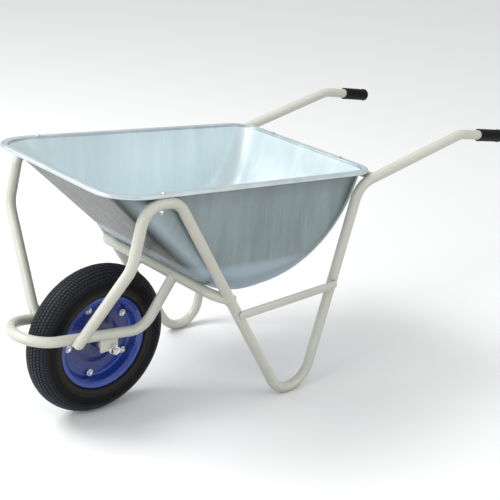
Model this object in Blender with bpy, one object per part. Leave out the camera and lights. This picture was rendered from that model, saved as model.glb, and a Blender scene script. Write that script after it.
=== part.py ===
"""Single-wheel builder's barrow: deep galvanised tray on a bent-tube frame.

Frame of the model: +X is forwards (towards the wheel), +Y is the user's left
when pushing, +Z is up.  The origin lies on the floor under the middle of the
whole barrow.  All lengths are in metres.
"""

from math import acos, asin, atan2, cos, degrees, hypot, pi, radians, sin, sqrt, tan

import bmesh
import bpy
import numpy as np
from mathutils import Matrix, Vector

# ---------------------------------------------------------------- dimensions
FIT_GAP = 0.0003            # clearance left between pieces that touch
TUBE_RADIUS = 0.0127        # one-inch frame tube
TUBE_WALL = 0.0016
TUBE_SIDES = 10
CUTTER_SIDES = 16
HOLE_SIDES = 8
WHEEL_STEPS = 32
HUB_STEPS = 20
INNER_TUBE_STEPS = 24
BEARING_STEPS = 16
BEND_STEP = radians(19.0)
FASTENER_SIDES = 12          # a multiple of six, so that hexagons keep their corners
GRIP_SIDES = 14

# Wheel: 3.50-8 tyre on a bolted two-piece pressed rim.
AXLE_X = 0.457
TYRE_RADIUS = 0.185
TYRE_HALF_WIDTH = 0.0405
TYRE_SECTION_HEIGHT = 0.092
TYRE_WALL = 0.006
AXLE_Z = TYRE_RADIUS
RIM_LIP_RADIUS = 0.1165
RIM_SHEET = 0.002
WHEEL_BOLT_COUNT = 5
WHEEL_BOLT_CIRCLE = 0.085
WHEEL_BOLT_START = radians(71.0)
WHEEL_BOLT_RADIUS = 0.005
WHEEL_BOLT_HEAD = 0.0064
WHEEL_BOLT_LENGTH = 0.0185
WHEEL_NUT_HEIGHT = 0.0080
RIM_DISC_FACE = 0.0035      # outer face of the flat disc, from the middle plane
INNER_TUBE_SECTION = (0.138, 0.032, 0.0293)
INNER_TUBE_WALL = 0.002
INNER_TUBE_SIDES = 8
VALVE_ANGLE = radians(103.0)
VALVE_RADIUS = 0.003
VALVE_LENGTH = 0.030
AXLE_RADIUS = 0.006
AXLE_HALF_LENGTH = 0.0905
AXLE_EDGE = 0.0012
AXLE_WASHER_RADIUS = 0.0125
AXLE_WASHER_THICKNESS = 0.002
AXLE_NUT_HEIGHT = 0.0105
SPACER_RADIUS = 0.0095
BRACKET_THICKNESS = 0.005
BRACKET_FRONT = 0.036       # the plate's front edge, ahead of the axle
BRACKET_TOP = 0.045         # inside the hoop's tube, before the plate is cut to fit it
BRACKET_DROP = 0.0015       # its straight lower edge, below the axle's centre
BRACKET_LUG_RADIUS = 0.0128
HUB_RADIUS = 0.0205
HUB_HALF_LENGTH = 0.034
HUB_BORE = 0.0135
BEARING_RADIUS = 0.016
BEARING_WIDTH = 0.010
BEARING_INNER_RADIUS = 0.0118
BEARING_GROOVE_RADIUS = 0.0130

# Tray: straight front wall, round belly, steep side walls.
TRAY_SHEET = 0.001
RIM_SLOPE = 0.1053          # the rim drops towards the handles
RIM_REAR_EDGE_X = -0.2105   # outer edge of the rolled rim
RIM_FRONT_EDGE_X = 0.5885
RIM_REAR_Z = 0.5466         # height of the rim's rolled edge at its rear
RIM_WIDTH = 0.0190          # from the wall's outer face to the rolled edge
RIM_FLANGE_TOP = 0.0035     # the flange lies this far above the rim's plane
RIM_BEAD_RADIUS = 0.0046
BELLY_X = 0.1063
BELLY_Z = 0.5836
BELLY_RADIUS = 0.2965
REAR_WALL_ANGLE = radians(-165.0)   # the rear wall leaves the round belly here
TRAY_HALF_WIDTH_FRONT = 0.2370
TRAY_HALF_WIDTH_REAR = 0.2318
TRAY_DRAFT_FRONT = 0.105
TRAY_DRAFT_REAR = 0.035
CORNER_RIM_FRONT = 0.060    # edge radius between side wall and front wall
CORNER_RIM_REAR = 0.046
CORNER_LOW_FRONT = 0.046
CORNER_LOW_REAR = 0.085
CORNER_BLEND_X = 0.276      # where the low edge has reached its front radius
TRAY_DEPTH = 0.30
RIM_ROLL_BACK = 0.0030      # how far the rolled edge turns back under the flange
TRAY_WALL_DROP = 0.0040     # the wall starts this far below the rim's plane
TRAY_EYE_FRONT_X = 0.4700   # the surface is traced from points between these two
TRAY_EYE_REAR_X = -0.1100
TRAY_FRONT_STEPS = 3
TRAY_BELLY_STEPS = 9
TRAY_EDGE_STEPS = 4
TRAY_TRACE_REACH = 0.9
TRAY_TRACE_STEPS = 34

# Frame tubes: corner points of each centre line and the bend radius there.
SIDE_TUBE = (
    ((0.5665, 0.0895, 0.2330), 0.0),      # welded to the guard hoop
    ((0.5355, 0.2465, 0.4670), 0.081),
    ((0.5040, 0.2480, 0.6020), 0.052),    # front of the peak under the rim
    ((0.4170, 0.2480, 0.5950), 0.054),
    ((-0.0034, 0.2147, -0.0956), 0.067),  # foot
    ((-0.1483, 0.2455, 0.5225), 0.058),
    ((-0.5178, 0.2480, 0.5915), 0.087),
    ((-0.6804, 0.2485, 0.5612), 0.0),     # end of the handle, inside the grip
)
SIDE_TUBE_LOW_CUT_Z = 0.2285
HOOP_HALF_WIDTH = 0.0695
HOOP_FRONT_X = 0.6743
HOOP_FRONT_Z = 0.2562
HOOP_BEND_X = 0.3706
HOOP_BEND_Z = 0.2102
HOOP_REAR_BEND_RADIUS = 0.065
BAR_ANGLE = radians(-55.5)  # where the support bar touches the belly
BAR_HALF_WIDTH = 0.2230
BAR_END_DROP = 0.018
BAR_END_LENGTH = 0.046
BAR_BEND_RADIUS = 0.040
CROSS_TUBE_RADIUS = 0.0095
CROSS_TUBE_X = -0.1995
CROSS_TUBE_Z = 0.5322
BRACE_FRONT_X = 0.2290
BRACE_REAR_X = -0.0980
BRACE_Z = 0.2740
BRACE_HEIGHT = 0.0215
BRACE_THICKNESS = 0.0045
GRIP_LENGTH = 0.0930
GRIP_RADIUS = 0.0165
GRIP_CAP = 0.0035           # thickness of the grip's closed end
GRIP_COLLAR_STEP = 0.0010
GRIP_COLLAR_LENGTH = 0.0070
GRIP_EDGE = 0.0020

# Fasteners.
TRAY_BOLT_RADIUS = 0.003
TRAY_BOLT_FRONT = (0.4550, 0.2450)
TRAY_BOLT_REAR = (-0.1990, 0.1250)
TRAY_BOLT_HEAD = 0.004
TRAY_BOLT_SPARE = 0.011      # thread beyond the washer's seat
TRAY_WASHER_RADIUS = 0.0062
TRAY_WASHER_THICKNESS = 0.0012
TRAY_NUT_HEIGHT = 0.005
HEX_M6 = 0.010
HEX_M10 = 0.016
HEX_M12 = 0.019

SIDES = (("left", 1), ("right", -1))
PARTS = {}


# ----------------------------------------------------------------- materials
def material(name, colour, roughness, metallic=0.0):
    found = bpy.data.materials.get(name)
    if found:
        return found
    made = bpy.data.materials.new(name)
    made.use_nodes = True
    shader = made.node_tree.nodes["Principled BSDF"]
    shader.inputs["Base Color"].default_value = (*colour, 1.0)
    shader.inputs["Roughness"].default_value = roughness
    shader.inputs["Metallic"].default_value = metallic
    return made


def finish(kind):
    finishes = {
        "paint": ((0.70, 0.69, 0.58), 0.38, 0.0),
        "galvanised": ((0.55, 0.62, 0.66), 0.42, 0.9),
        "rim_paint": ((0.015, 0.04, 0.33), 0.30, 0.1),
        "rubber": ((0.012, 0.012, 0.013), 0.75, 0.0),
        "grip": ((0.015, 0.015, 0.016), 0.60, 0.0),
        "zinc": ((0.62, 0.62, 0.58), 0.32, 1.0),
        "steel": ((0.45, 0.45, 0.46), 0.30, 1.0),
        "plastic": ((0.02, 0.02, 0.02), 0.45, 0.0),
    }
    return material(kind, *finishes[kind])


# ------------------------------------------------------------- mesh plumbing
def add_object(name, bm, kind, parent=None):
    """Turn a bmesh into a named object with its faces pointing out."""
    bmesh.ops.recalc_face_normals(bm, faces=bm.faces)
    mesh = bpy.data.meshes.new(name)
    bm.to_mesh(mesh)
    bm.free()
    mesh.shade_smooth()
    mesh.set_sharp_from_angle(angle=radians(38.0))
    mesh.materials.append(finish(kind))
    made = bpy.data.objects.new(name, mesh)
    bpy.context.scene.collection.objects.link(made)
    if parent:
        made.parent = parent
    PARTS[name] = made
    return made


def subtract(target, cutter):
    cut = target.modifiers.new("cut", "BOOLEAN")
    cut.operation = "DIFFERENCE"
    cut.solver = "EXACT"
    cut.object = cutter


def make_cutter(made):
    made.hide_render = True
    made.display_type = "WIRE"
    PARTS.pop(made.name, None)
    return made


def bridge_rings(bm, rings, closed_ends=False, looped=False):
    """Join rings of vertices into a skin; cap or close it on itself."""
    count = len(rings[0])
    pairs = list(zip(rings[:-1], rings[1:]))
    if looped:
        pairs.append((rings[-1], rings[0]))
    for near, far in pairs:
        for i in range(count):
            j = (i + 1) % count
            bm.faces.new((near[i], near[j], far[j], far[i]))
    if closed_ends:
        bm.faces.new(rings[0][::-1])
        bm.faces.new(rings[-1])


def ring_of(bm, points):
    return [bm.verts.new(point) for point in points]


# ---------------------------------------------------------------- tube paths
def rounded_path(corners, step=BEND_STEP):
    """Centre line through corner points, with an arc at each bend."""
    points = [Vector(corners[0][0])]
    for index in range(1, len(corners) - 1):
        corner = Vector(corners[index][0])
        radius = corners[index][1]
        back = (Vector(corners[index - 1][0]) - corner).normalized()
        ahead = (Vector(corners[index + 1][0]) - corner).normalized()
        half = back.angle(ahead) / 2
        reach = radius / tan(half)
        centre = corner + (back + ahead).normalized() * (radius / sin(half))
        first = corner + back * reach - centre
        last = corner + ahead * reach - centre
        turn = first.angle(last)
        count = max(2, round(turn / step))
        for k in range(count + 1):
            share = k / count
            weight_a = sin((1 - share) * turn) / sin(turn)
            weight_b = sin(share * turn) / sin(turn)
            points.append(centre + first * weight_a + last * weight_b)
    points.append(Vector(corners[-1][0]))
    return points


def circle_rings(bm, path, radius, sides):
    """Rings of vertices along a path, carried without twisting."""
    tangents = []
    for i, point in enumerate(path):
        before = path[max(i - 1, 0)]
        after = path[min(i + 1, len(path) - 1)]
        tangents.append((after - before).normalized())
    side = tangents[0].cross(Vector((0, 0, 1)))
    if side.length < 0.1:
        side = tangents[0].cross(Vector((0, 1, 0)))
    rings = []
    for i, (point, tangent) in enumerate(zip(path, tangents)):
        side = (side - tangent * side.dot(tangent)).normalized()
        other = tangent.cross(side)
        angles = [2 * pi * k / sides for k in range(sides)]
        rings.append(ring_of(bm, [point + (side * cos(a) + other * sin(a)) * radius for a in angles]))
    return rings


def hollow_tube(name, path, radius, wall, kind):
    bm = bmesh.new()
    outer = circle_rings(bm, path, radius, TUBE_SIDES)
    inner = circle_rings(bm, path, radius - wall, TUBE_SIDES)
    bridge_rings(bm, outer + inner[::-1], looped=True)
    return add_object(name, bm, kind)


def mirrored(corners, sign):
    return [((x, y * sign, z), radius) for (x, y, z), radius in corners]


def rod_cutter(name, path, radius, sides=CUTTER_SIDES):
    """A rod slightly fatter than its radius: for coping tubes and for holes."""
    bm = bmesh.new()
    grown = (radius + FIT_GAP) / cos(pi / sides)
    bridge_rings(bm, circle_rings(bm, path, grown, sides), closed_ends=True)
    return make_cutter(add_object(name, bm, "steel"))


# ------------------------------------------------------------ turned pieces
def turned(name, profile, kind, steps):
    """Spin a closed profile of (radius, offset) points about the Y axis."""
    bm = bmesh.new()
    rings = []
    for k in range(steps):
        a = 2 * pi * k / steps
        rings.append(ring_of(bm, [(r * cos(a), y, r * sin(a)) for r, y in profile]))
    bridge_rings(bm, rings, looped=True)
    return add_object(name, bm, kind)


def arc_points(centre_u, centre_v, radius_u, radius_v, start, end, count):
    points = []
    for k in range(count + 1):
        a = radians(start + (end - start) * k / count)
        points.append((centre_u + radius_u * cos(a), centre_v + radius_v * sin(a)))
    return points


def prism(name, outline, low, high, kind):
    """Extrude an (x, z) outline between two y values."""
    bm = bmesh.new()
    near = ring_of(bm, [(x, low, z) for x, z in outline])
    far = ring_of(bm, [(x, high, z) for x, z in outline])
    bridge_rings(bm, [near, far], closed_ends=True)
    return add_object(name, bm, kind)


def aim(made, place, direction):
    """Stand a piece that was made along +Z on a place, facing a direction."""
    turn = Vector((0, 0, 1)).rotation_difference(Vector(direction))
    made.data.transform(Matrix.Translation(place) @ turn.to_matrix().to_4x4())


def level_ring(bm, height, radius, hexagonal):
    """A round ring, or a hexagon whose flats are at the radius."""
    points = []
    for k in range(FASTENER_SIDES):
        a = 2 * pi * k / FASTENER_SIDES
        reach = radius / cos((a + pi / 6) % (pi / 3) - pi / 6) if hexagonal else radius
        points.append((reach * cos(a), reach * sin(a), height))
    return ring_of(bm, points)


def stacked(name, levels, kind):
    """A solid along +Z from (height, radius, hexagonal) levels."""
    bm = bmesh.new()
    bridge_rings(bm, [level_ring(bm, *level) for level in levels], closed_ends=True)
    return add_object(name, bm, kind)


def bolt(name, across, shank_radius, head, length, place, direction, kind="zinc"):
    """Hex bolt: the underside of its head is at the place, the shank ahead."""
    flat = across / 2
    levels = [(-head, flat * 0.92, True), (-head * 0.75, flat, True), (0, flat, True)]
    levels += [(0, shank_radius, False), (length, shank_radius, False)]
    made = stacked(name, levels, kind)
    aim(made, place, direction)
    return made


def ring_piece(name, outer, inner, thickness, place, direction, kind, hexagonal=False):
    """Nut or washer: a ring whose base is at the place."""
    bm = bmesh.new()
    levels = [(0, outer, hexagonal), (thickness, outer, hexagonal)]
    levels += [(thickness, inner, False), (0, inner, False)]
    bridge_rings(bm, [level_ring(bm, *level) for level in levels], looped=True)
    made = add_object(name, bm, kind)
    aim(made, place, direction)
    return made


# --------------------------------------------------------------------- tray
def rim_height(x):
    """Height of the middle of the rim's rolled edge."""
    return RIM_REAR_Z + RIM_SLOPE * (x - RIM_REAR_EDGE_X)


def share(value, start, end):
    return np.clip((value - start) / (end - start), 0.0, 1.0)


def mix(a, b, t):
    return a + (b - a) * t


def front_wall_angle():
    """Direction, seen from the belly's centre, in which the front wall faces."""
    top_x = RIM_FRONT_EDGE_X - RIM_WIDTH
    dx = top_x - BELLY_X
    dz = rim_height(top_x) - BELLY_Z
    return atan2(dz, dx) - acos(BELLY_RADIUS / hypot(dx, dz))


def tray_section(x, z):
    """Side draft, half width and edge radius of the tray at some place."""
    along = share(x, RIM_REAR_EDGE_X, RIM_FRONT_EDGE_X)
    depth = rim_height(x) - z
    draft = mix(TRAY_DRAFT_REAR, TRAY_DRAFT_FRONT, along)
    half_width = mix(TRAY_HALF_WIDTH_REAR, TRAY_HALF_WIDTH_FRONT, along) - draft * depth
    rim_corner = mix(CORNER_RIM_REAR, CORNER_RIM_FRONT, along)
    low_corner = mix(CORNER_LOW_REAR, CORNER_LOW_FRONT, share(x, BELLY_X, CORNER_BLEND_X))
    return draft, half_width, mix(rim_corner, low_corner, share(depth, 0.0, TRAY_DEPTH))


def tray_distance(x, y, z):
    """Signed distance outside the tray's outer surface, for arrays."""
    facing = front_wall_angle()
    front_x, front_z = cos(facing), sin(facing)
    rear_x, rear_z = cos(REAR_WALL_ANGLE), sin(REAR_WALL_ANGLE)
    rx, rz = x - BELLY_X, z - BELLY_Z
    ends = np.hypot(rx, rz) - BELLY_RADIUS
    ends = np.where(rz * front_x > rx * front_z, rx * front_x + rz * front_z - BELLY_RADIUS, ends)
    ends = np.where(rx * rear_z > rz * rear_x, rx * rear_x + rz * rear_z - BELLY_RADIUS, ends)
    draft, half_width, radius = tray_section(x, z)
    walls = (np.abs(y) - half_width) / np.sqrt(1 + draft * draft)
    a, b = ends + radius, walls + radius
    return np.minimum(np.maximum(a, b), 0) + np.hypot(np.maximum(a, 0), np.maximum(b, 0)) - radius


def tray_down():
    """Unit vector square to the rim's plane, pointing down into the tray."""
    down = np.array((RIM_SLOPE, 0.0, -1.0))
    return down / np.linalg.norm(down)


def below_rim(x):
    """Place in the middle plane a little below the rim, where the wall starts."""
    return np.array((x, 0.0, rim_height(x))) + tray_down() * TRAY_WALL_DROP


def tray_targets():
    """Points down the front wall and round the belly, in the middle plane."""
    facing = front_wall_angle()
    centre = np.array((BELLY_X, 0.0, BELLY_Z))
    top = below_rim(RIM_FRONT_EDGE_X - RIM_WIDTH)
    low = centre + BELLY_RADIUS * np.array((cos(facing), 0.0, sin(facing)))
    targets = [mix(top, low, k / TRAY_FRONT_STEPS) for k in range(TRAY_FRONT_STEPS)]
    for k in range(TRAY_BELLY_STEPS + 1):
        a = mix(facing, REAR_WALL_ANGLE, k / TRAY_BELLY_STEPS)
        targets.append(centre + BELLY_RADIUS * np.array((cos(a), 0.0, sin(a))))
    return targets + [below_rim(RIM_REAR_EDGE_X + RIM_WIDTH)]


def tray_bearings(target, length):
    """Angles from the left wall to the right one, closer round the edges."""
    _, half_width, radius = tray_section(target[0], target[2])
    edge = arc_points(half_width - radius, length - radius, radius, radius, 0, 90, TRAY_EDGE_STEPS)
    left = [atan2(deep, wide) for wide, deep in edge]
    left = [0.0, left[0] / 2] + left
    return np.array(left + [pi / 2] + [pi - a for a in left[::-1]])


def trace_tray(origin, directions, offset):
    """Points at which rays from the origin meet the tray's surface."""
    low = np.zeros(len(directions))
    high = np.full(len(directions), TRAY_TRACE_REACH)
    for _ in range(TRAY_TRACE_STEPS):
        middle = (low + high) / 2
        p = origin + directions * middle[:, None]
        inside = tray_distance(p[:, 0], p[:, 1], p[:, 2]) < offset
        low = np.where(inside, middle, low)
        high = np.where(inside, high, middle)
    return origin + directions * low[:, None]


def tray_grid(offset):
    """Rows of points across the tray, from its front wall to its rear one."""
    across = np.array((0.0, 1.0, 0.0))
    targets = tray_targets()
    rows = []
    for k, target in enumerate(targets):
        eye = below_rim(mix(TRAY_EYE_FRONT_X, TRAY_EYE_REAR_X, k / (len(targets) - 1)))
        length = np.linalg.norm(target - eye)
        ahead = (target - eye) / length
        bearings = tray_bearings(target, length)[:, None]
        rows.append(trace_tray(eye, np.cos(bearings) * across + np.sin(bearings) * ahead, offset))
    return rows


def grid_border(rows):
    """The edge of a grid as one loop."""
    last = len(rows[0]) - 1
    loop = list(rows[0]) + [row[last] for row in rows[1:]]
    return loop + list(rows[-1][:last][::-1]) + [row[0] for row in rows[-2:0:-1]]


def rim_base(border):
    """The wall's top carried up to the rim's plane, and the way out from it."""
    down = tray_down()
    lifted = np.array(border) - down * TRAY_WALL_DROP
    away = tray_distance(*lifted.T)
    tiny = 1e-5
    shifts = np.eye(3) * tiny
    slope = np.array([tray_distance(*(lifted + shift).T) - away for shift in shifts]).T / tiny
    slope -= (slope @ down)[:, None] * down
    steepness = np.linalg.norm(slope, axis=1)[:, None]
    outwards = slope / steepness
    return lifted - outwards * away[:, None] / steepness, outwards


def rim_rings(border):
    """Rings of the flange and its rolled edge, from the inside to the outside."""
    level, outwards = rim_base(border)
    flat = RIM_WIDTH - RIM_BEAD_RADIUS
    under = RIM_FLANGE_TOP - TRAY_SHEET
    middle = RIM_FLANGE_TOP - RIM_BEAD_RADIUS
    section = [(-TRAY_SHEET, 0.0), (TRAY_SHEET, RIM_FLANGE_TOP), (flat, RIM_FLANGE_TOP)]
    section += arc_points(flat, middle, RIM_BEAD_RADIUS, RIM_BEAD_RADIUS, 45, -90, 3)
    section += [(flat - RIM_ROLL_BACK, middle - RIM_BEAD_RADIUS), (flat - RIM_ROLL_BACK, under)]
    section += [(2 * TRAY_SHEET, under), (0.0, 0.0)]
    return [level + outwards * reach - tray_down() * rise for reach, rise in section]


def add_grid(bm, rows):
    grid = [ring_of(bm, row) for row in rows]
    for near, far in zip(grid[:-1], grid[1:]):
        for i in range(len(near) - 1):
            bm.faces.new((near[i], near[i + 1], far[i + 1], far[i]))
    return grid_border(grid)


def make_tray():
    """One sheet: inner skin, flange with its rolled edge, outer skin."""
    bm = bmesh.new()
    outer_rows = tray_grid(0.0)
    inner = add_grid(bm, tray_grid(-TRAY_SHEET))
    outer = add_grid(bm, outer_rows)
    rim = [ring_of(bm, ring) for ring in rim_rings(grid_border(outer_rows))]
    bridge_rings(bm, [inner] + rim + [outer])
    return add_object("tray_pan", bm, "galvanised")


# -------------------------------------------------------------------- frame
def hoop_corners():
    bar_x, bar_z = bar_place()
    w = HOOP_HALF_WIDTH
    left = [((bar_x, w, bar_z), 0.0), ((HOOP_BEND_X, w, HOOP_BEND_Z), HOOP_REAR_BEND_RADIUS)]
    left += [((HOOP_FRONT_X, w, HOOP_FRONT_Z), w * 0.985)]
    return left + mirrored(left, -1)[::-1]


def bar_place():
    """Centre of the support bar: it touches the underside of the belly."""
    reach = BELLY_RADIUS + TUBE_RADIUS + FIT_GAP
    return BELLY_X + reach * cos(BAR_ANGLE), BELLY_Z + reach * sin(BAR_ANGLE)


def bar_corners():
    x, z = bar_place()
    end = ((x - BAR_END_LENGTH, BAR_HALF_WIDTH + 0.011, z - BAR_END_DROP), 0.0)
    left = [end, ((x, BAR_HALF_WIDTH, z), BAR_BEND_RADIUS)]
    return left + mirrored(left, -1)[::-1]


def make_frame():
    side_paths = {}
    cutters = {}
    for side, sign in SIDES:
        side_paths[side] = rounded_path(mirrored(SIDE_TUBE, sign))
        made = hollow_tube(side + "_side_tube", side_paths[side], TUBE_RADIUS, TUBE_WALL, "paint")
        cutters[side] = rod_cutter(side + "_side_tube_cutter", side_paths[side], TUBE_RADIUS)
    hoop_path = rounded_path(hoop_corners())
    hoop = hollow_tube("guard_hoop", hoop_path, TUBE_RADIUS, TUBE_WALL, "paint")
    hoop_cutter = rod_cutter("guard_hoop_cutter", hoop_path, TUBE_RADIUS)
    bar_path = rounded_path(bar_corners())
    bar = hollow_tube("tray_support_bar", bar_path, TUBE_RADIUS, TUBE_WALL, "paint")
    bar_cutter = rod_cutter("tray_support_bar_cutter", bar_path, TUBE_RADIUS)
    subtract(hoop, bar_cutter)
    reach = side_line_y(CROSS_TUBE_X)
    ends = [Vector((CROSS_TUBE_X, -reach, CROSS_TUBE_Z)), Vector((CROSS_TUBE_X, reach, CROSS_TUBE_Z))]
    cross = hollow_tube("rear_cross_tube", ends, CROSS_TUBE_RADIUS, TUBE_WALL, "paint")
    for side, sign in SIDES:
        subtract(PARTS[side + "_side_tube"], hoop_cutter)
        subtract(bar, cutters[side])
        subtract(cross, cutters[side])
        trim_low_end(side, sign)
        make_brace(side, sign)
        make_axle_bracket(side, sign, hoop_cutter)
        make_grip(side, sign, side_paths[side])


def side_line_y(x):
    """Distance of the handle's centre line from the middle, at some x."""
    (x0, y0, _), _ = SIDE_TUBE[5]
    (x1, y1, _), _ = SIDE_TUBE[6]
    return y0 + (y1 - y0) * (x - x0) / (x1 - x0)


def box_cutter(name, low, high):
    bm = bmesh.new()
    bmesh.ops.create_cube(bm, size=1.0)
    for vert in bm.verts:
        for axis in range(3):
            vert.co[axis] = mix(low[axis], high[axis], vert.co[axis] + 0.5)
    return make_cutter(add_object(name, bm, "steel"))


def trim_low_end(side, sign):
    """The tube ends level with the underside of the hoop it is welded to."""
    x, y, _ = SIDE_TUBE[0][0]
    low = (x - 0.05, y * sign - 0.05, SIDE_TUBE_LOW_CUT_Z - 0.05)
    high = (x + 0.05, y * sign + 0.05, SIDE_TUBE_LOW_CUT_Z)
    subtract(PARTS[side + "_side_tube"], box_cutter(side + "_tube_end_cutter", low, high))


def leg_point(first, second, z):
    """Point of a straight leg's centre line at some height."""
    a, b = Vector(SIDE_TUBE[first][0]), Vector(SIDE_TUBE[second][0])
    return a + (b - a) * ((z - a.z) / (b.z - a.z))


def make_brace(side, sign):
    """Flat strap with round ends, welded to the outer faces of both legs."""
    end = BRACE_HEIGHT / 2
    outline = arc_points(BRACE_FRONT_X - end, 0, end, end, -90, 90, 6)
    outline += arc_points(BRACE_REAR_X + end, 0, end, end, 90, 270, 6)
    front = leg_point(3, 4, BRACE_Z)
    rear = leg_point(5, 4, BRACE_Z)
    lean = front.y - leg_point(3, 4, BRACE_Z - 1.0).y
    made = prism(side + "_leg_brace", outline, 0.0, BRACE_THICKNESS, "paint")
    start = max(front.y, rear.y) + TUBE_RADIUS * sqrt(1 + lean * lean) + 2 * FIT_GAP
    made.data.transform(Matrix.Rotation(-atan2(lean, 1.0), 4, "X"))
    made.data.transform(Matrix.Translation((0, start, BRACE_Z)))
    if sign < 0:
        mirror_mesh(made)


def mirror_mesh(made):
    """Reflect a mesh in the middle plane and turn its faces back out."""
    made.data.transform(Matrix.Scale(-1, 4, (0, 1, 0)))
    made.data.flip_normals()


def make_axle_bracket(side, sign, hoop_cutter):
    """Plate under the hoop's arm, ending in a round lug with the axle's hole."""
    start = -degrees(asin(BRACKET_DROP / BRACKET_LUG_RADIUS))
    outline = [(BRACKET_FRONT, BRACKET_TOP), (BRACKET_FRONT, -BRACKET_DROP)]
    outline += arc_points(0, 0, BRACKET_LUG_RADIUS, BRACKET_LUG_RADIUS, start, -180, 7)
    outline += [(-BRACKET_LUG_RADIUS, BRACKET_TOP)]
    outline = [(AXLE_X + x, AXLE_Z + z) for x, z in outline]
    middle = sign * HOOP_HALF_WIDTH
    low = middle - BRACKET_THICKNESS / 2
    made = prism(side + "_axle_bracket", outline, low, low + BRACKET_THICKNESS, "paint")
    subtract(made, hoop_cutter)
    top = box_cutter(side + "_bracket_top_cutter", (AXLE_X - 0.06, middle - 0.02, AXLE_Z + 0.034),
                     (AXLE_X + 0.06, middle + 0.02, AXLE_Z + 0.10))
    subtract(made, top)
    hole = [Vector((AXLE_X, middle - 0.02, AXLE_Z)), Vector((AXLE_X, middle + 0.02, AXLE_Z))]
    subtract(made, rod_cutter(side + "_axle_hole_cutter", hole, AXLE_RADIUS))


def make_grip(side, sign, path):
    """Rubber sleeve, closed at its end, pushed over the handle's tube."""
    end, before = path[-1], path[-2]
    direction = (end - before).normalized()
    bore = (TUBE_RADIUS + FIT_GAP) / cos(pi / GRIP_SIDES)
    collar = GRIP_RADIUS + GRIP_COLLAR_STEP
    profile = [(bore, GRIP_LENGTH - GRIP_CAP), (bore, 0.0), (GRIP_RADIUS, 0.0)]
    profile += [(GRIP_RADIUS, GRIP_LENGTH - GRIP_COLLAR_LENGTH), (collar, GRIP_LENGTH - GRIP_COLLAR_LENGTH)]
    profile += [(collar, GRIP_LENGTH - GRIP_EDGE), (collar - GRIP_EDGE, GRIP_LENGTH)]
    bm = bmesh.new()
    rings = []
    for radius, height in profile:
        angles = [2 * pi * k / GRIP_SIDES for k in range(GRIP_SIDES)]
        rings.append(ring_of(bm, [(radius * cos(a), radius * sin(a), height) for a in angles]))
    bridge_rings(bm, rings, closed_ends=True)
    start = end - direction * (GRIP_LENGTH - GRIP_CAP - FIT_GAP)
    aim(add_object(side + "_grip", bm, "grip"), start, direction)


# -------------------------------------------------------------------- wheel
def tyre_profile():
    """Closed section of the tyre, as (radius, offset from the middle)."""
    middle = TYRE_RADIUS - TYRE_SECTION_HEIGHT / 2
    half_height = TYRE_SECTION_HEIGHT / 2
    outer = arc_points(middle, 0, half_height, TYRE_HALF_WIDTH, -118, 118, 10)
    inner = arc_points(middle, 0, half_height - TYRE_WALL, TYRE_HALF_WIDTH - TYRE_WALL, 112, -112, 6)
    bead = [(0.1172, 0.0330), (0.1171, 0.0293), (0.1075, 0.0282)]
    bead += [(0.1025, 0.0243), (0.1022, 0.0150), (0.1060, 0.0140), (0.1120, 0.0230)]
    return outer + bead + inner + mirrored_profile(bead)


def rim_half_profile():
    """Pressed half rim: lip, bead seat, slope, flat disc and hub seat."""
    hub = HUB_RADIUS + FIT_GAP
    outer = [(RIM_LIP_RADIUS, 0.0315), (RIM_LIP_RADIUS - 0.0035, 0.0335), (0.1065, 0.0315)]
    outer += [(0.0995, 0.0255), (0.0982, 0.0140), (0.0948, RIM_DISC_FACE), (0.0560, RIM_DISC_FACE)]
    outer += [(0.0380, 0.0115), (hub, 0.0115)]
    inner = [(hub, 0.0095), (0.0372, 0.0095), (0.0552, FIT_GAP), (0.0958, FIT_GAP)]
    inner += [(0.1000, 0.0130), (0.1015, 0.0245), (0.1075, 0.0290), (0.1125, 0.0310)]
    return outer + inner + [(RIM_LIP_RADIUS, 0.0300)]


def mirrored_profile(profile):
    return [(r, -y) for r, y in profile[::-1]]


def make_inner_tube():
    """Thin rubber ring; the valve's stem stands in its hole."""
    centre, half_height, half_width = INNER_TUBE_SECTION
    section = arc_points(centre, 0, half_height, half_width, 0, 360, INNER_TUBE_SIDES)[:-1]
    made = turned("inner_tube", section, "rubber", INNER_TUBE_STEPS)
    half_height -= INNER_TUBE_WALL
    half_width -= INNER_TUBE_WALL
    air = arc_points(centre, 0, half_height, half_width, 0, 360, INNER_TUBE_SIDES)[:-1]
    subtract(made, make_cutter(turned("wheel_cut_air", air, "rubber", INNER_TUBE_STEPS)))
    return made


def make_hub():
    """Sleeve with a ball bearing's two rings in each end."""
    step_at = HUB_HALF_LENGTH - BEARING_WIDTH - FIT_GAP
    pocket = BEARING_RADIUS + FIT_GAP
    half = [(HUB_RADIUS, HUB_HALF_LENGTH), (pocket, HUB_HALF_LENGTH)]
    half += [(pocket, step_at), (HUB_BORE, step_at)]
    made = [turned("hub_sleeve", mirrored_profile(half) + half, "rim_paint", HUB_STEPS)]
    for side, sign in SIDES:
        near, far = sorted((sign * (HUB_HALF_LENGTH - BEARING_WIDTH), sign * HUB_HALF_LENGTH))
        outer = [(BEARING_RADIUS, far), (BEARING_RADIUS, near)]
        outer += [(BEARING_GROOVE_RADIUS, near), (BEARING_GROOVE_RADIUS, far)]
        made.append(turned(side + "_bearing_outer_ring", outer, "steel", BEARING_STEPS))
        bore = AXLE_RADIUS + FIT_GAP
        inner = [(BEARING_INNER_RADIUS, far), (BEARING_INNER_RADIUS, near), (bore, near), (bore, far)]
        fixed = turned(side + "_bearing_inner_ring", inner, "steel", BEARING_STEPS)
        fixed.data.transform(Matrix.Translation((AXLE_X, 0, AXLE_Z)))
    return made


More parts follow.
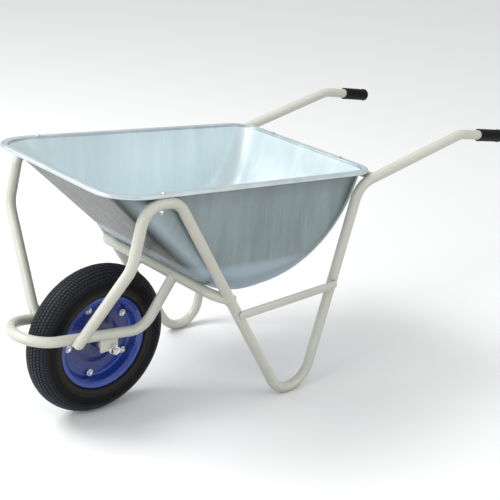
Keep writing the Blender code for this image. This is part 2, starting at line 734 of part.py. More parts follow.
def make_wheel():
    """Everything that turns, built about the origin and moved to the axle."""
    axis = bpy.data.objects.new("wheel_axis", None)
    axis.location = (AXLE_X, 0.0, AXLE_Z)
    bpy.context.scene.collection.objects.link(axis)
    half = rim_half_profile()
    turning = [turned("tyre", tyre_profile(), "rubber", WHEEL_STEPS)]
    turning.append(turned("left_rim_half", half, "rim_paint", WHEEL_STEPS))
    turning.append(turned("right_rim_half", mirrored_profile(half), "rim_paint", WHEEL_STEPS))
    turning += make_hub()
    turning.append(make_inner_tube())
    turning += make_valve()
    turning += make_wheel_bolts()
    cutters = [o for o in bpy.data.objects if o.name.startswith("wheel_cut_")]
    for made in turning + cutters:
        made.parent = axis


def make_valve():
    """Stem and cap: through the slope of the left half, out to the side."""
    outwards = Vector((cos(VALVE_ANGLE), 0, sin(VALVE_ANGLE)))
    lean = (outwards * -0.8 + Vector((0, 0.6, 0))).normalized()
    start = outwards * 0.1090 + Vector((0, 0.0003, 0))
    levels = [(0.0, VALVE_RADIUS, False), (VALVE_LENGTH, VALVE_RADIUS, False)]
    stem = stacked("valve_stem", levels, "rubber")
    aim(stem, start, lean)
    levels = [(0.0, 0.0036, False), (0.009, 0.0036, False), (0.011, 0.0024, False)]
    cap = stacked("valve_cap", levels, "plastic")
    aim(cap, start + lean * (VALVE_LENGTH + FIT_GAP), lean)
    hole = [start - lean * 0.006, start + lean * 0.040]
    cutter = rod_cutter("wheel_cut_valve", hole, VALVE_RADIUS, HOLE_SIDES)
    subtract(PARTS["left_rim_half"], cutter)
    subtract(PARTS["inner_tube"], cutter)
    return [stem, cap]


def make_wheel_bolts():
    made = []
    disc = RIM_DISC_FACE + FIT_GAP
    for k in range(WHEEL_BOLT_COUNT):
        a = WHEEL_BOLT_START + 2 * pi * k / WHEEL_BOLT_COUNT
        at = Vector((WHEEL_BOLT_CIRCLE * cos(a), 0, WHEEL_BOLT_CIRCLE * sin(a)))
        number = str(k + 1)
        head = at + Vector((0, -disc, 0))
        made.append(bolt("wheel_bolt_" + number, HEX_M10, WHEEL_BOLT_RADIUS, WHEEL_BOLT_HEAD,
                         WHEEL_BOLT_LENGTH, head, (0, 1, 0)))
        nut = at + Vector((0, disc, 0))
        made.append(ring_piece("wheel_nut_" + number, HEX_M10 / 2, WHEEL_BOLT_RADIUS + FIT_GAP,
                               WHEEL_NUT_HEIGHT, nut, (0, 1, 0), "zinc", hexagonal=True))
        ends = [at + Vector((0, -WHEEL_BOLT_LENGTH, 0)), at + Vector((0, WHEEL_BOLT_LENGTH, 0))]
        cutter = rod_cutter("wheel_cut_bolt_" + number, ends, WHEEL_BOLT_RADIUS, HOLE_SIDES)
        subtract(PARTS["left_rim_half"], cutter)
        subtract(PARTS["right_rim_half"], cutter)
    return made


def make_axle():
    """Through axle with a spacer, washer and nut on each side."""
    length = 2 * AXLE_HALF_LENGTH
    levels = [(0, AXLE_RADIUS - AXLE_EDGE, False), (AXLE_EDGE, AXLE_RADIUS, False)]
    levels += [(length - AXLE_EDGE, AXLE_RADIUS, False), (length, AXLE_RADIUS - AXLE_EDGE, False)]
    aim(stacked("axle_shaft", levels, "zinc"), (AXLE_X, -AXLE_HALF_LENGTH, AXLE_Z), (0, 1, 0))
    bore = AXLE_RADIUS + FIT_GAP
    plate_in = HOOP_HALF_WIDTH - BRACKET_THICKNESS / 2 - FIT_GAP
    plate_out = HOOP_HALF_WIDTH + BRACKET_THICKNESS / 2 + FIT_GAP
    for side, sign in SIDES:
        facing = (0, sign, 0)
        start = HUB_HALF_LENGTH + FIT_GAP
        ring_piece(side + "_axle_spacer", SPACER_RADIUS, bore, plate_in - start,
                   (AXLE_X, sign * start, AXLE_Z), facing, "zinc")
        ring_piece(side + "_axle_washer", AXLE_WASHER_RADIUS, bore, AXLE_WASHER_THICKNESS,
                   (AXLE_X, sign * plate_out, AXLE_Z), facing, "zinc")
        nut_at = plate_out + AXLE_WASHER_THICKNESS + FIT_GAP
        ring_piece(side + "_axle_nut", HEX_M12 / 2, bore, AXLE_NUT_HEIGHT,
                   (AXLE_X, sign * nut_at, AXLE_Z), facing, "zinc", hexagonal=True)


# ----------------------------------------------------------- tray fasteners
def between(first, second, x):
    """Point of a side tube's straight run between two corners, at some x."""
    a, b = Vector(SIDE_TUBE[first][0]), Vector(SIDE_TUBE[second][0])
    return a + (b - a) * ((x - a.x) / (b.x - a.x))


def make_tray_fasteners():
    """Four bolts through the rim's flange and the tube below it."""
    peak = between(2, 3, TRAY_BOLT_FRONT[0]).z - TUBE_RADIUS
    underside = CROSS_TUBE_Z - CROSS_TUBE_RADIUS
    for side, sign in SIDES:
        tray_fastener("front_" + side, *TRAY_BOLT_FRONT, sign, peak, PARTS[side + "_side_tube"])
        tray_fastener("rear_" + side, *TRAY_BOLT_REAR, sign, underside, PARTS["rear_cross_tube"])


def tray_fastener(label, x, y, sign, underside, tube):
    down = Vector((RIM_SLOPE, 0, -1)).normalized()
    seat = Vector((x, y * sign, rim_height(x))) - down * (RIM_FLANGE_TOP + FIT_GAP)
    grip = (underside - seat.z) / down.z + 3 * FIT_GAP
    length = grip + TRAY_BOLT_SPARE
    bolt("tray_bolt_" + label, HEX_M6, TRAY_BOLT_RADIUS, TRAY_BOLT_HEAD, length, seat, down)
    bore = TRAY_BOLT_RADIUS + FIT_GAP
    at = seat + down * grip
    ring_piece("tray_washer_" + label, TRAY_WASHER_RADIUS, bore, TRAY_WASHER_THICKNESS, at, down, "zinc")
    at += down * (TRAY_WASHER_THICKNESS + FIT_GAP)
    ring_piece("tray_nut_" + label, HEX_M6 / 2, bore, TRAY_NUT_HEIGHT, at, down, "zinc", hexagonal=True)
    hole = [seat - down * 0.01, seat + down * 0.06]
    cutter = rod_cutter("tray_bolt_hole_" + label, hole, bore, HOLE_SIDES)
    subtract(PARTS["tray_pan"], cutter)
    subtract(tube, cutter)


def clear_scene():
    for old in list(bpy.data.objects):
        bpy.data.objects.remove(old, do_unlink=True)


def main():
    clear_scene()
    make_tray()
    make_frame()
    make_wheel()
    make_axle()
    make_tray_fasteners()


main()
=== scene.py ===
"""The wheelbarrow's visible pieces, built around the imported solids.

+X is forwards, +Y is the pusher's left, +Z is up.  All lengths are in metres.
Pieces are made in the model's own frame, so none of them is moved afterwards.
"""

from math import acos, atan2, cos, hypot, pi, radians, sin, sqrt, tan

import bmesh
import bpy
import numpy as np
from mathutils import Matrix, Vector
from mathutils.bvhtree import BVHTree


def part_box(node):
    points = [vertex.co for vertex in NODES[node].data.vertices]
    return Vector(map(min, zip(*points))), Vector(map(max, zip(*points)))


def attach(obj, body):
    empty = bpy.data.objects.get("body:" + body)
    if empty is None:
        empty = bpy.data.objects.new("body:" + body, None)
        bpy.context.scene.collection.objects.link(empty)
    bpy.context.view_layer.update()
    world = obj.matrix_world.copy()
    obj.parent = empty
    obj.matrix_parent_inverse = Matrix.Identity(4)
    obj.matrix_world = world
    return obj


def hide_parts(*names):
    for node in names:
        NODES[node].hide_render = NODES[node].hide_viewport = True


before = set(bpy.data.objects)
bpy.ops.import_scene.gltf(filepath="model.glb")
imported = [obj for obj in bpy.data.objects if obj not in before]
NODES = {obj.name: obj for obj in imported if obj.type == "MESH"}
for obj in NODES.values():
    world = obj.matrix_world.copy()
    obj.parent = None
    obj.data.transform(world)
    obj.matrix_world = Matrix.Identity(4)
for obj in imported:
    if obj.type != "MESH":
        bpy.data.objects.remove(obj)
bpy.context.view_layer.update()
SIDES = (("left", 1), ("right", -1))

# ------------------------------------------------------------ shared dimensions
TUBE_RADIUS = 0.0127
TUBE_WALL = 0.0016
CROSS_TUBE_RADIUS = 0.0095
AXLE = Vector((0.457, 0.0, 0.185))
SIDE_TUBE = (
    ((0.5665, 0.0895, 0.2330), 0.0),
    ((0.5355, 0.2465, 0.4670), 0.081),
    ((0.5040, 0.2480, 0.6020), 0.052),
    ((0.4170, 0.2480, 0.5950), 0.054),
    ((-0.0034, 0.2147, -0.0956), 0.067),
    ((-0.1483, 0.2455, 0.5225), 0.058),
    ((-0.5178, 0.2480, 0.5915), 0.087),
    ((-0.6804, 0.2485, 0.5612), 0.0),
)
TUBE_END_Z = 0.2285
HOOP_HALF_WIDTH = 0.0695
HOOP_FRONT = (0.6743, 0.2562)
HOOP_BEND = (0.3706, 0.2102)
BELLY = (0.1063, 0.5836)
BELLY_RADIUS = 0.2965
BAR_ANGLE = radians(-55.5)
BAR_HALF_WIDTH = 0.2230
BRACE_Z = 0.2740
BRACE_WIDTH = 0.0215
BRACE_THICKNESS = 0.0045
BRACE_FRONT_TRIM = 0.0030
BRACE_REAR_TRIM = 0.0052
WELD_STEP = 0.0011

RIM_SLOPE = 0.1053
RIM_REAR_X = -0.2105
RIM_FRONT_X = 0.5885
RIM_REAR_Z = 0.5466
RIM_WIDTH = 0.0190
RIM_TOP = 0.0035
RIM_BEAD = 0.0046
TRAY_SHEET = 0.001
WALL_DROP = 0.0060
REAR_WALL_ANGLE = radians(-165.0)


# ------------------------------------------------------------------- materials
class Shader:
    """A Principled material with small helpers for its procedural nodes."""

    def __init__(self, name, **constants):
        self.material = bpy.data.materials.new(name)
        self.material.use_nodes = True
        self.tree = self.material.node_tree
        self.bsdf = self.tree.nodes["Principled BSDF"]
        self.place = self.node("ShaderNodeTexCoord").outputs["Object"]
        for key, value in constants.items():
            self.bsdf.inputs[key.replace("_", " ")].default_value = value

    def node(self, kind, values=(), **settings):
        """A new node. Among its values, a socket is linked and the rest are stored."""
        made = self.tree.nodes.new(kind)
        for key, value in settings.items():
            setattr(made, key, value)
        for key, value in dict(values).items():
            if isinstance(value, bpy.types.NodeSocket):
                self.tree.links.new(value, made.inputs[key])
            else:
                made.inputs[key].default_value = value
        return made

    def stretched(self, scale):
        return self.node("ShaderNodeMapping", {"Scale": scale, "Vector": self.place}).outputs["Vector"]

    def noise(self, scale, detail=3.0, rough=0.55, vector=None, distortion=0.0):
        return self.node("ShaderNodeTexNoise", {
            "Scale": scale, "Detail": detail, "Roughness": rough, "Distortion": distortion,
            "Vector": vector or self.place}).outputs["Fac"]

    def cells(self, scale):
        """Distance from the middle of the nearest of many uneven cells."""
        return self.node("ShaderNodeTexVoronoi", {"Scale": scale, "Vector": self.place}).outputs["Distance"]

    def ramp(self, source, *stops):
        """Colours or grey values at positions along the source."""
        made = self.node("ShaderNodeValToRGB", {"Fac": source})
        points = made.color_ramp.elements
        while len(points) < len(stops):
            points.new(0.5)
        for point, (position, value) in zip(points, stops):
            colour = value if isinstance(value, tuple) else (value,) * 3
            point.position = position
            point.color = (*colour, 1.0)
        return made.outputs["Color"]

    def mix(self, share, first, second):
        first, second = [(*value, 1.0) if isinstance(value, tuple) else value for value in (first, second)]
        return self.node("ShaderNodeMix", {0: share, 6: first, 7: second}, data_type="RGBA").outputs[2]

    def maths(self, operation, *values):
        return self.node("ShaderNodeMath", dict(enumerate(values)), operation=operation).outputs[0]

    def vectors(self, operation, *values):
        return self.node("ShaderNodeVectorMath", dict(enumerate(values)), operation=operation).outputs

    def along(self, axis, vector=None):
        """One part of a vector, which is the place unless another is given."""
        return self.node("ShaderNodeSeparateXYZ", {"Vector": vector or self.place}).outputs[axis]

    def facing(self, axis):
        """How far the surface faces along an axis, from 0 (away) to 1 (towards)."""
        normal = self.node("ShaderNodeTexCoord").outputs["Normal"]
        return self.maths("MULTIPLY_ADD", self.along(axis, normal), 0.5, 0.5)

    def reach(self):
        """Distance from the axle's line, in units of 0.2 m."""
        away = self.vectors("SUBTRACT", self.place, AXLE)[0]
        flat = self.vectors("MULTIPLY", away, (5.0, 0.0, 5.0))[0]
        return self.vectors("LENGTH", flat)["Value"]

    def bump(self, source, distance, strength=1.0, after=None):
        values = {"Distance": distance, "Strength": strength, "Height": source}
        if after:
            values["Normal"] = after
        return self.node("ShaderNodeBump", values).outputs["Normal"]

    def use(self, **sockets):
        for key, source in sockets.items():
            self.tree.links.new(source, self.bsdf.inputs[key.replace("_", " ")])
        return self.material


def cream_paint():
    """Cream gloss enamel over steel tube: mottling, orange peel, and painted shade on the undersides."""
    s = Shader("cream_enamel", Coat_Weight=0.35, Coat_Roughness=0.12)
    broad = s.ramp(s.noise(5.0, 4.0), (0.30, (0.58, 0.58, 0.505)), (0.72, (0.65, 0.65, 0.575)))
    # Painted shade: the colour is darkened the more the surface faces downwards.
    under = s.ramp(s.facing("Z"), (0.08, 0.72), (0.66, 0.0))
    broad = s.mix(under, broad, (0.27, 0.26, 0.215))
    dust = s.ramp(s.noise(70.0, 6.0, 0.7), (0.52, 0.0), (0.78, 0.55))
    colour = s.mix(dust, broad, (0.55, 0.545, 0.47))
    specks = s.ramp(s.noise(420.0, 2.0), (0.72, 0.0), (0.80, 0.35))
    colour = s.mix(specks, colour, (0.42, 0.40, 0.31))
    gloss = s.ramp(s.noise(24.0, 5.0), (0.3, 0.26), (0.75, 0.42))
    peel = s.bump(s.noise(520.0, 2.0), 0.0002, 0.25)
    waves = s.bump(s.noise(60.0, 2.0), 0.0004, 0.12, peel)
    return s.use(Base_Color=colour, Roughness=gloss, Normal=waves)


def galvanised(name, dark, light, streak, metallic, outside=False):
    """Zinc-coated sheet: spangle, drawing streaks down the walls, dull patches."""
    s = Shader(name, Metallic=metallic)
    grain = s.ramp(s.cells(62.0), (0.0, 0.35), (0.9, 0.65))
    streaks = s.noise(9.0, 5.0, 0.6, s.stretched((3.2, 3.2, 0.28)), 0.4)
    fine = s.noise(46.0, 4.0, 0.6, s.stretched((3.0, 3.0, 0.22)))
    cloud = s.noise(3.0, 4.0, 0.6)
    blend = s.maths("ADD", s.maths("MULTIPLY", streaks, 0.62), s.maths("MULTIPLY", cloud, 0.38))
    colour = s.ramp(blend, (0.34, dark), (0.66, light))
    colour = s.mix(s.ramp(fine, (0.60, 0.0), (0.76, 0.35)), colour, streak)
    colour = s.mix(s.maths("MULTIPLY", grain, 0.14), colour, dark)
    if outside:
        colour = outside_smudges_and_painted_light(s, colour)
    gloss = s.maths("ADD", s.maths("MULTIPLY", streaks, 0.22), s.maths("MULTIPLY", grain, 0.20))
    gloss = s.maths("ADD", gloss, 0.17)
    dents = s.bump(s.noise(6.5, 2.0, 0.4), 0.004, 0.35)
    skin_bump = s.bump(fine, 0.0003, 0.25, dents)
    return s.use(Base_Color=colour, Roughness=gloss, Normal=skin_bump)


def outside_smudges_and_painted_light(s, colour):
    """Painted light on the outside sheet: a painted reflection brightening the bends, painted shade darkening
    the front wall, a painted shadow under the rim and a painted reflection paling the belly; and a few
    smudges.
    """
    # Painted reflection: the sheet is brightened on its bends, where the surface turns partway away from
    # facing sideways.
    side = s.ramp(s.facing("Y"), (0.0, 1.0), (0.5, 0.0), (1.0, 1.0))
    bend = s.ramp(side, (0.30, 0.0), (0.58, 0.52), (0.80, 0.50), (1.0, 0.0))
    colour = s.mix(bend, colour, (0.40, 0.485, 0.55))
    # Painted shade: the front wall, where the surface faces forwards, is darkened.
    front = s.ramp(s.facing("X"), (0.72, 0.0), (0.86, 0.88))
    colour = s.mix(front, colour, (0.105, 0.105, 0.100))
    tilted = s.maths("MULTIPLY", s.along("X"), RIM_SLOPE)
    below = s.maths("SUBTRACT", s.maths("ADD", tilted, RIM_REAR_Z - RIM_SLOPE * RIM_REAR_X), s.along("Z"))
    shade = s.ramp(below, (0.006, 0.60), (0.016, 0.30), (0.050, 0.0))
    colour = s.mix(shade, colour, (0.12, 0.125, 0.125))
    # Painted reflection: a paler band low on the belly, from about 0.2 m below the rim's plane.
    belly = s.ramp(below, (0.196, 0.0), (0.212, 0.66), (0.300, 0.85))
    colour = s.mix(belly, colour, (0.40, 0.49, 0.57))
    smudge = s.ramp(s.noise(5.5, 3.0, 0.5, distortion=0.6), (0.71, 0.0), (0.76, 0.45))
    return s.mix(smudge, colour, (0.16, 0.19, 0.20))


def rubber(name, dark, light, low, high, grain, tyre=False):
    s = Shader(name, Specular_IOR_Level=0.14)
    cloud = s.noise(14.0, 6.0, 0.65)
    colour = s.ramp(cloud, (0.35, dark), (0.75, light))
    dust = s.ramp(s.noise(210.0, 3.0), (0.58, 0.0), (0.8, 0.30))
    if tyre:
        reach = s.reach()
        # Painted highlight: a lighter ring on the sidewall just outside the rim.
        ring = s.ramp(reach, (0.590, 0.0), (0.620, 0.55), (0.655, 0.45), (0.690, 0.0))
        colour = s.mix(ring, colour, (0.050, 0.044, 0.040))
        # Dust and painted sheen: the tread and its shoulders are made lighter and bluer.
        tread = s.ramp(reach, (0.755, 0.0), (0.800, 0.40), (0.900, 0.80))
        colour = s.mix(tread, colour, (0.046, 0.050, 0.061))
    colour = s.mix(dust, colour, tuple(v * 2.4 for v in light))
    gloss = s.ramp(s.noise(30.0, 5.0), (0.3, low), (0.75, high))
    skin_bump = s.bump(s.noise(grain, 3.0), 0.0004, 0.35)
    return s.use(Base_Color=colour, Roughness=gloss, Normal=skin_bump)


def rim_paint():
    """Blue gloss enamel, made greyer round the hub by painted shade and brighter out on the lip by painted
    light, with a thin painted highlight round the disc's crease.
    """
    s = Shader("rim_enamel", Coat_Weight=0.6, Coat_Roughness=0.10)
    reach = s.reach()
    # Painted shade and light: dark towards the hub, brighter towards the lip.
    broad = s.ramp(reach, (0.18, (0.012, 0.014, 0.085)), (0.34, (0.014, 0.024, 0.17)),
                   (0.44, (0.012, 0.040, 0.28)), (0.56, (0.013, 0.056, 0.33)))
    cloud = s.ramp(s.noise(9.0, 4.0), (0.3, 0.0), (0.75, 0.45))
    broad = s.mix(cloud, broad, (0.008, 0.024, 0.20))
    # Painted highlight: a thin lighter line round the disc's crease, about 0.0936 m from the axle.
    crease = s.ramp(reach, (0.460, 0.0), (0.468, 0.75), (0.474, 0.75), (0.482, 0.0))
    broad = s.mix(crease, broad, (0.060, 0.150, 0.56))
    worn = s.ramp(s.noise(160.0, 5.0, 0.7), (0.66, 0.0), (0.80, 0.5))
    colour = s.mix(worn, broad, (0.04, 0.09, 0.42))
    gloss = s.ramp(s.noise(40.0, 4.0), (0.3, 0.22), (0.75, 0.38))
    waves = s.bump(s.noise(75.0, 2.0), 0.0005, 0.25)
    return s.use(Base_Color=colour, Roughness=gloss, Normal=waves)


def plated(name, dark, light, low, high):
    """Zinc plating or ground steel, with turning marks and dull spots."""
    s = Shader(name, Metallic=1.0)
    cloud = s.noise(120.0, 5.0, 0.65)
    colour = s.ramp(cloud, (0.3, dark), (0.7, light))
    gloss = s.ramp(s.noise(310.0, 4.0), (0.3, low), (0.72, high))
    skin = s.bump(s.noise(900.0, 2.0), 0.00012, 0.4)
    return s.use(Base_Color=colour, Roughness=gloss, Normal=skin)


PAINT = cream_paint()
INSIDE = galvanised("galvanised_inside", (0.65, 0.745, 0.775), (0.79, 0.87, 0.895),
                    (0.94, 0.975, 0.985), 0.34)
OUTSIDE = galvanised("galvanised_outside", (0.205, 0.254, 0.257), (0.310, 0.372, 0.377),
                     (0.43, 0.49, 0.51), 0.72, outside=True)
RIM_METAL = galvanised("galvanised_rim", (0.54, 0.62, 0.65), (0.70, 0.78, 0.80), (0.92, 0.95, 0.96), 0.62)
# Painted shade: a darker copy of the sheet for the strips where the inside wall bends into the rim's flange.
PAINTED_CREASE_SHADE = galvanised("galvanised_painted_crease_shade", (0.34, 0.41, 0.44), (0.50, 0.57, 0.60), (0.66, 0.72, 0.74), 0.60)
TYRE = rubber("tyre_rubber", (0.0022, 0.0022, 0.0024), (0.0048, 0.0048, 0.0052), 0.40, 0.58, 900.0, tyre=True)
GRIP = rubber("grip_rubber", (0.0035, 0.0035, 0.0037), (0.0075, 0.0075, 0.0080), 0.38, 0.52, 1400.0)
BLUE = rim_paint()
ZINC = plated("zinc_plate", (0.62, 0.63, 0.60), (0.90, 0.90, 0.88), 0.14, 0.32)
STEEL = plated("ground_steel", (0.34, 0.34, 0.35), (0.50, 0.50, 0.51), 0.22, 0.36)
PLASTIC = rubber("cap_plastic", (0.012, 0.012, 0.012), (0.022, 0.022, 0.022), 0.30, 0.42, 1600.0)


# -------------------------------------------------------------------- meshing
def add(name, data):
    made = bpy.data.objects.new(name, data)
    bpy.context.scene.collection.objects.link(made)
    return made


def build(name, points, faces, materials, angle=38.0):
    """An object from points and faces; sharp edges where they turn steeply."""
    mesh = bpy.data.meshes.new(name)
    mesh.from_pydata([tuple(p) for p in points], [], [tuple(f) for f in faces])
    bm = bmesh.new()
    bm.from_mesh(mesh)
    bmesh.ops.recalc_face_normals(bm, faces=bm.faces)
    bm.to_mesh(mesh)
    bm.free()
    mesh.shade_smooth()
    mesh.set_sharp_from_angle(angle=radians(angle))
    for material in materials if isinstance(materials, (list, tuple)) else [materials]:
        mesh.materials.append(material)
    return add(name, mesh)


def seat(made, body, slot, *nodes):
    """The piece rides on its body and stands for nodes, which it hides. Its slot is not used."""
    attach(made, body)
    if nodes:
        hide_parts(*nodes)
    return made


def skin(rings, looped=False, capped=False):
    """Points and faces of a skin over rings of equal length."""
    count = len(rings[0])
    points = [p for ring in rings for p in ring]
    faces = []
    for near in range(len(rings) if looped else len(rings) - 1):
        far = (near + 1) % len(rings)
        for i in range(count):
            j = (i + 1) % count
            faces.append((near * count + i, near * count + j, far * count + j, far * count + i))
    if capped:
        faces.append(tuple(range(count))[::-1])
        faces.append(tuple(range((len(rings) - 1) * count, len(rings) * count)))
    return points, faces


def sweep(centre, first, last, turn, count):
    """Points of the arc about a centre, from one radius round to another."""
    return [centre + first * (sin((1 - k / count) * turn) / sin(turn))
            + last * (sin(k / count * turn) / sin(turn)) for k in range(count + 1)]


def rounded_path(corners, step=radians(3.0)):
    """Centre line through corner points, with an arc at each bend."""
    points = [Vector(corners[0][0])]
    for index in range(1, len(corners) - 1):
        corner = Vector(corners[index][0])
        radius = corners[index][1]
        back = (Vector(corners[index - 1][0]) - corner).normalized()
        ahead = (Vector(corners[index + 1][0]) - corner).normalized()
        half = back.angle(ahead) / 2
        reach = radius / tan(half)
        centre = corner + (back + ahead).normalized() * (radius / sin(half))
        first = corner + back * reach - centre
        last = corner + ahead * reach - centre
        turn = first.angle(last)
        points += sweep(centre, first, last, turn, max(2, round(turn / step)))
    points.append(Vector(corners[-1][0]))
    return points


def path_rings(path, radii, sides, looped=False):
    """Rings along a path, carried without twisting; a radius for each point."""
    count = len(path)
    tangents = []
    for i in range(count):
        before = path[i - 1] if looped or i else path[i]
        after = path[(i + 1) % count] if looped or i < count - 1 else path[i]
        tangents.append((after - before).normalized())
    side = tangents[0].cross(Vector((0, 0, 1)))
    if side.length < 0.1:
        side = tangents[0].cross(Vector((0, 1, 0)))
    rings = []
    for point, tangent, radius in zip(path, tangents, radii):
        side = (side - tangent * side.dot(tangent)).normalized()
        other = tangent.cross(side)
        angles = [2 * pi * k / sides for k in range(sides)]
        rings.append([point + (side * cos(a) + other * sin(a)) * radius for a in angles])
    return rings


def spin(profile, steps, centre=(0.0, 0.0, 0.0)):
    """Rings of a closed (radius, offset) profile turned about the Y direction."""
    rings = []
    for k in range(steps):
        a = 2 * pi * k / steps
        rings.append([Vector((centre[0] + r * cos(a), centre[1] + y, centre[2] + r * sin(a)))
                      for r, y in profile])
    return rings


def fillet(corners, steps=5):
    """A closed 2-D outline with its corners rounded; each corner has a radius."""
    outline = []
    count = len(corners)
    for i, (u, v, radius) in enumerate(corners):
        here = Vector((u, v))
        if radius <= 0:
            outline.append((u, v))
            continue
        back = Vector(corners[i - 1][:2]) - here
        ahead = Vector(corners[(i + 1) % count][:2]) - here
        half = max(back.angle(ahead) / 2, 0.02)
        reach = min(radius / tan(half), back.length * 0.49, ahead.length * 0.49)
        radius = reach * tan(half)
        start, end = here + back.normalized() * reach, here + ahead.normalized() * reach
        middle = (back.normalized() + ahead.normalized())
        if middle.length < 1e-6:
            outline.append((u, v))
            continue
        centre = here + middle.normalized() * (radius / sin(half))
        first, last = start - centre, end - centre
        outline += [(p.x, p.y) for p in sweep(centre, first, last, first.angle(last), steps)]
    return outline


def arc(u, v, ru, rv, start, end, count):
    """Points of an ellipse's arc between two angles in degrees."""
    angles = [radians(start + (end - start) * k / count) for k in range(count + 1)]
    return [(u + ru * cos(a), v + rv * sin(a)) for a in angles]


def turned(name, profile, steps, material, body, slot, nodes, centre=(0.0, 0.0, 0.0), angle=38.0):
    points, faces = skin(spin(profile, steps, centre), looped=True)
    return seat(build(name, points, faces, material, angle), body, slot, *nodes)


def standing(points, place, direction):
    """Points made along +Z from the origin, stood on a place."""
    turn = Vector((0, 0, 1)).rotation_difference(Vector(direction)).to_matrix()
    return [turn @ Vector(p) + Vector(place) for p in points]


# ------------------------------------------------------------------- fasteners
HEX_STEPS = 72


def hex_reach(a, flat):
    return flat / cos((a + pi / 6) % (pi / 3) - pi / 6)


def hex_body(flat, low, high, low_chamfer=True, high_chamfer=True):
    """Rings of a hexagon whose corners are turned down at the chosen faces."""
    limit = flat * 1.045
    levels = []
    for z, inward, on in ((low, 1, low_chamfer), (high, -1, high_chamfer)):
        face, side = [], []
        for k in range(HEX_STEPS):
            a = 2 * pi * k / HEX_STEPS
            reach = hex_reach(a, flat)
            cut = min(reach, limit) if on else reach
            drop = (reach - cut) * 0.58
            face.append((cut * cos(a), cut * sin(a), z))
            side.append((reach * cos(a), reach * sin(a), z + inward * (drop + 0.00001)))
        levels += [face, side] if inward > 0 else [side, face]
    return levels


def circle(radius, z, steps=HEX_STEPS):
    angles = [2 * pi * k / steps for k in range(steps)]
    return [(radius * cos(a), radius * sin(a), z) for a in angles]


def threaded(radius, low, high, pitch):
    """Rings of a thread's crests and roots, ending in a chamfer."""
    rings = []
    turns = int((high - low - 0.0008) / pitch)
    for k in range(turns):
        z = low + k * pitch
        rings += [circle(radius - pitch * 0.42, z), circle(radius, z + pitch * 0.40)]
        rings.append(circle(radius, z + pitch * 0.60))
    return rings + [circle(radius - pitch * 0.42, low + turns * pitch), circle(radius - pitch * 0.6, high)]


def fitting(name, rings, place, direction, body, node, material=ZINC, slot="zinc", angle=24.0, looped=False):
    """A solid of rings stood on a place; a looped one has a bore, the others have ends."""
    points, faces = skin(rings, looped, not looped)
    return seat(build(name, standing(points, place, direction), faces, material, angle), body, slot, node)


def add_nut(name, flat, bore, thickness, place, direction, body, node):
    rings = hex_body(flat, 0.0, thickness)
    rings += [circle(bore + 0.0007, thickness), circle(bore, thickness - 0.0007)]
    rings += [circle(bore, 0.0007), circle(bore + 0.0007, 0.0)]
    return fitting(name, rings, place, direction, body, node, looped=True)


def add_washer(name, outer, bore, thickness, place, direction, body, node):
    edge = thickness * 0.25
    rings = [circle(bore, 0.0), circle(outer - edge, 0.0), circle(outer, edge)]
    rings += [circle(outer, thickness - edge), circle(outer - edge, thickness), circle(bore, thickness)]
    return fitting(name, rings, place, direction, body, node, looped=True)


def add_bolt(name, head_rings, radius, length, thread_from, pitch, place, direction, body, node):
    rings = head_rings + [circle(radius, 0.0), circle(radius, thread_from)]
    rings += threaded(radius, thread_from, length, pitch)
    return fitting(name, rings, place, direction, body, node)


# ------------------------------------------------------------------------ tray
# The tray's materials, and the strip of its rim at which each one ends.
IN, OUT, ROLLED, CREASED = range(4)
IN_END, CREASED_END, ROLLED_END = 1, 4, 26


def mix(a, b, t):
    return a + (b - a) * t


def share(value, start, end):
    return np.clip((value - start) / (end - start), 0.0, 1.0)


def rim_height(x):
    return RIM_REAR_Z + RIM_SLOPE * (x - RIM_REAR_X)


def front_wall_angle():
    top_x = RIM_FRONT_X - RIM_WIDTH
    dx, dz = top_x - BELLY[0], rim_height(top_x) - BELLY[1]
    return atan2(dz, dx) - acos(BELLY_RADIUS / hypot(dx, dz))


def tray_section(x, z):
    """Side draft, half width and edge radius of the tray at some place."""
    along = share(x, RIM_REAR_X, RIM_FRONT_X)
    depth = rim_height(x) - z
    draft = mix(0.035, 0.105, along)
    half_width = mix(0.2318, 0.2370, along) - draft * depth
    low_corner = mix(0.085, 0.046, share(x, BELLY[0], 0.276))
    return draft, half_width, mix(mix(0.046, 0.060, along), low_corner, share(depth, 0.0, 0.30))


def tray_distance(x, y, z):
    """Signed distance outside the tray's outer surface, for arrays."""
    facing = front_wall_angle()
    fx, fz = cos(facing), sin(facing)
    bx, bz = cos(REAR_WALL_ANGLE), sin(REAR_WALL_ANGLE)
    rx, rz = x - BELLY[0], z - BELLY[1]
    ends = np.hypot(rx, rz) - BELLY_RADIUS
    ends = np.where(rz * fx > rx * fz, rx * fx + rz * fz - BELLY_RADIUS, ends)
    ends = np.where(rx * bz > rz * bx, rx * bx + rz * bz - BELLY_RADIUS, ends)
    draft, half_width, radius = tray_section(x, z)
    walls = (np.abs(y) - half_width) / np.sqrt(1 + draft * draft)
    a, b = ends + radius, walls + radius
    return np.minimum(np.maximum(a, b), 0) + np.hypot(np.maximum(a, 0), np.maximum(b, 0)) - radius


def tray_down():
    down = np.array((RIM_SLOPE, 0.0, -1.0))
    return down / np.linalg.norm(down)


def below_rim(x):
    return np.array((x, 0.0, rim_height(x))) + tray_down() * WALL_DROP


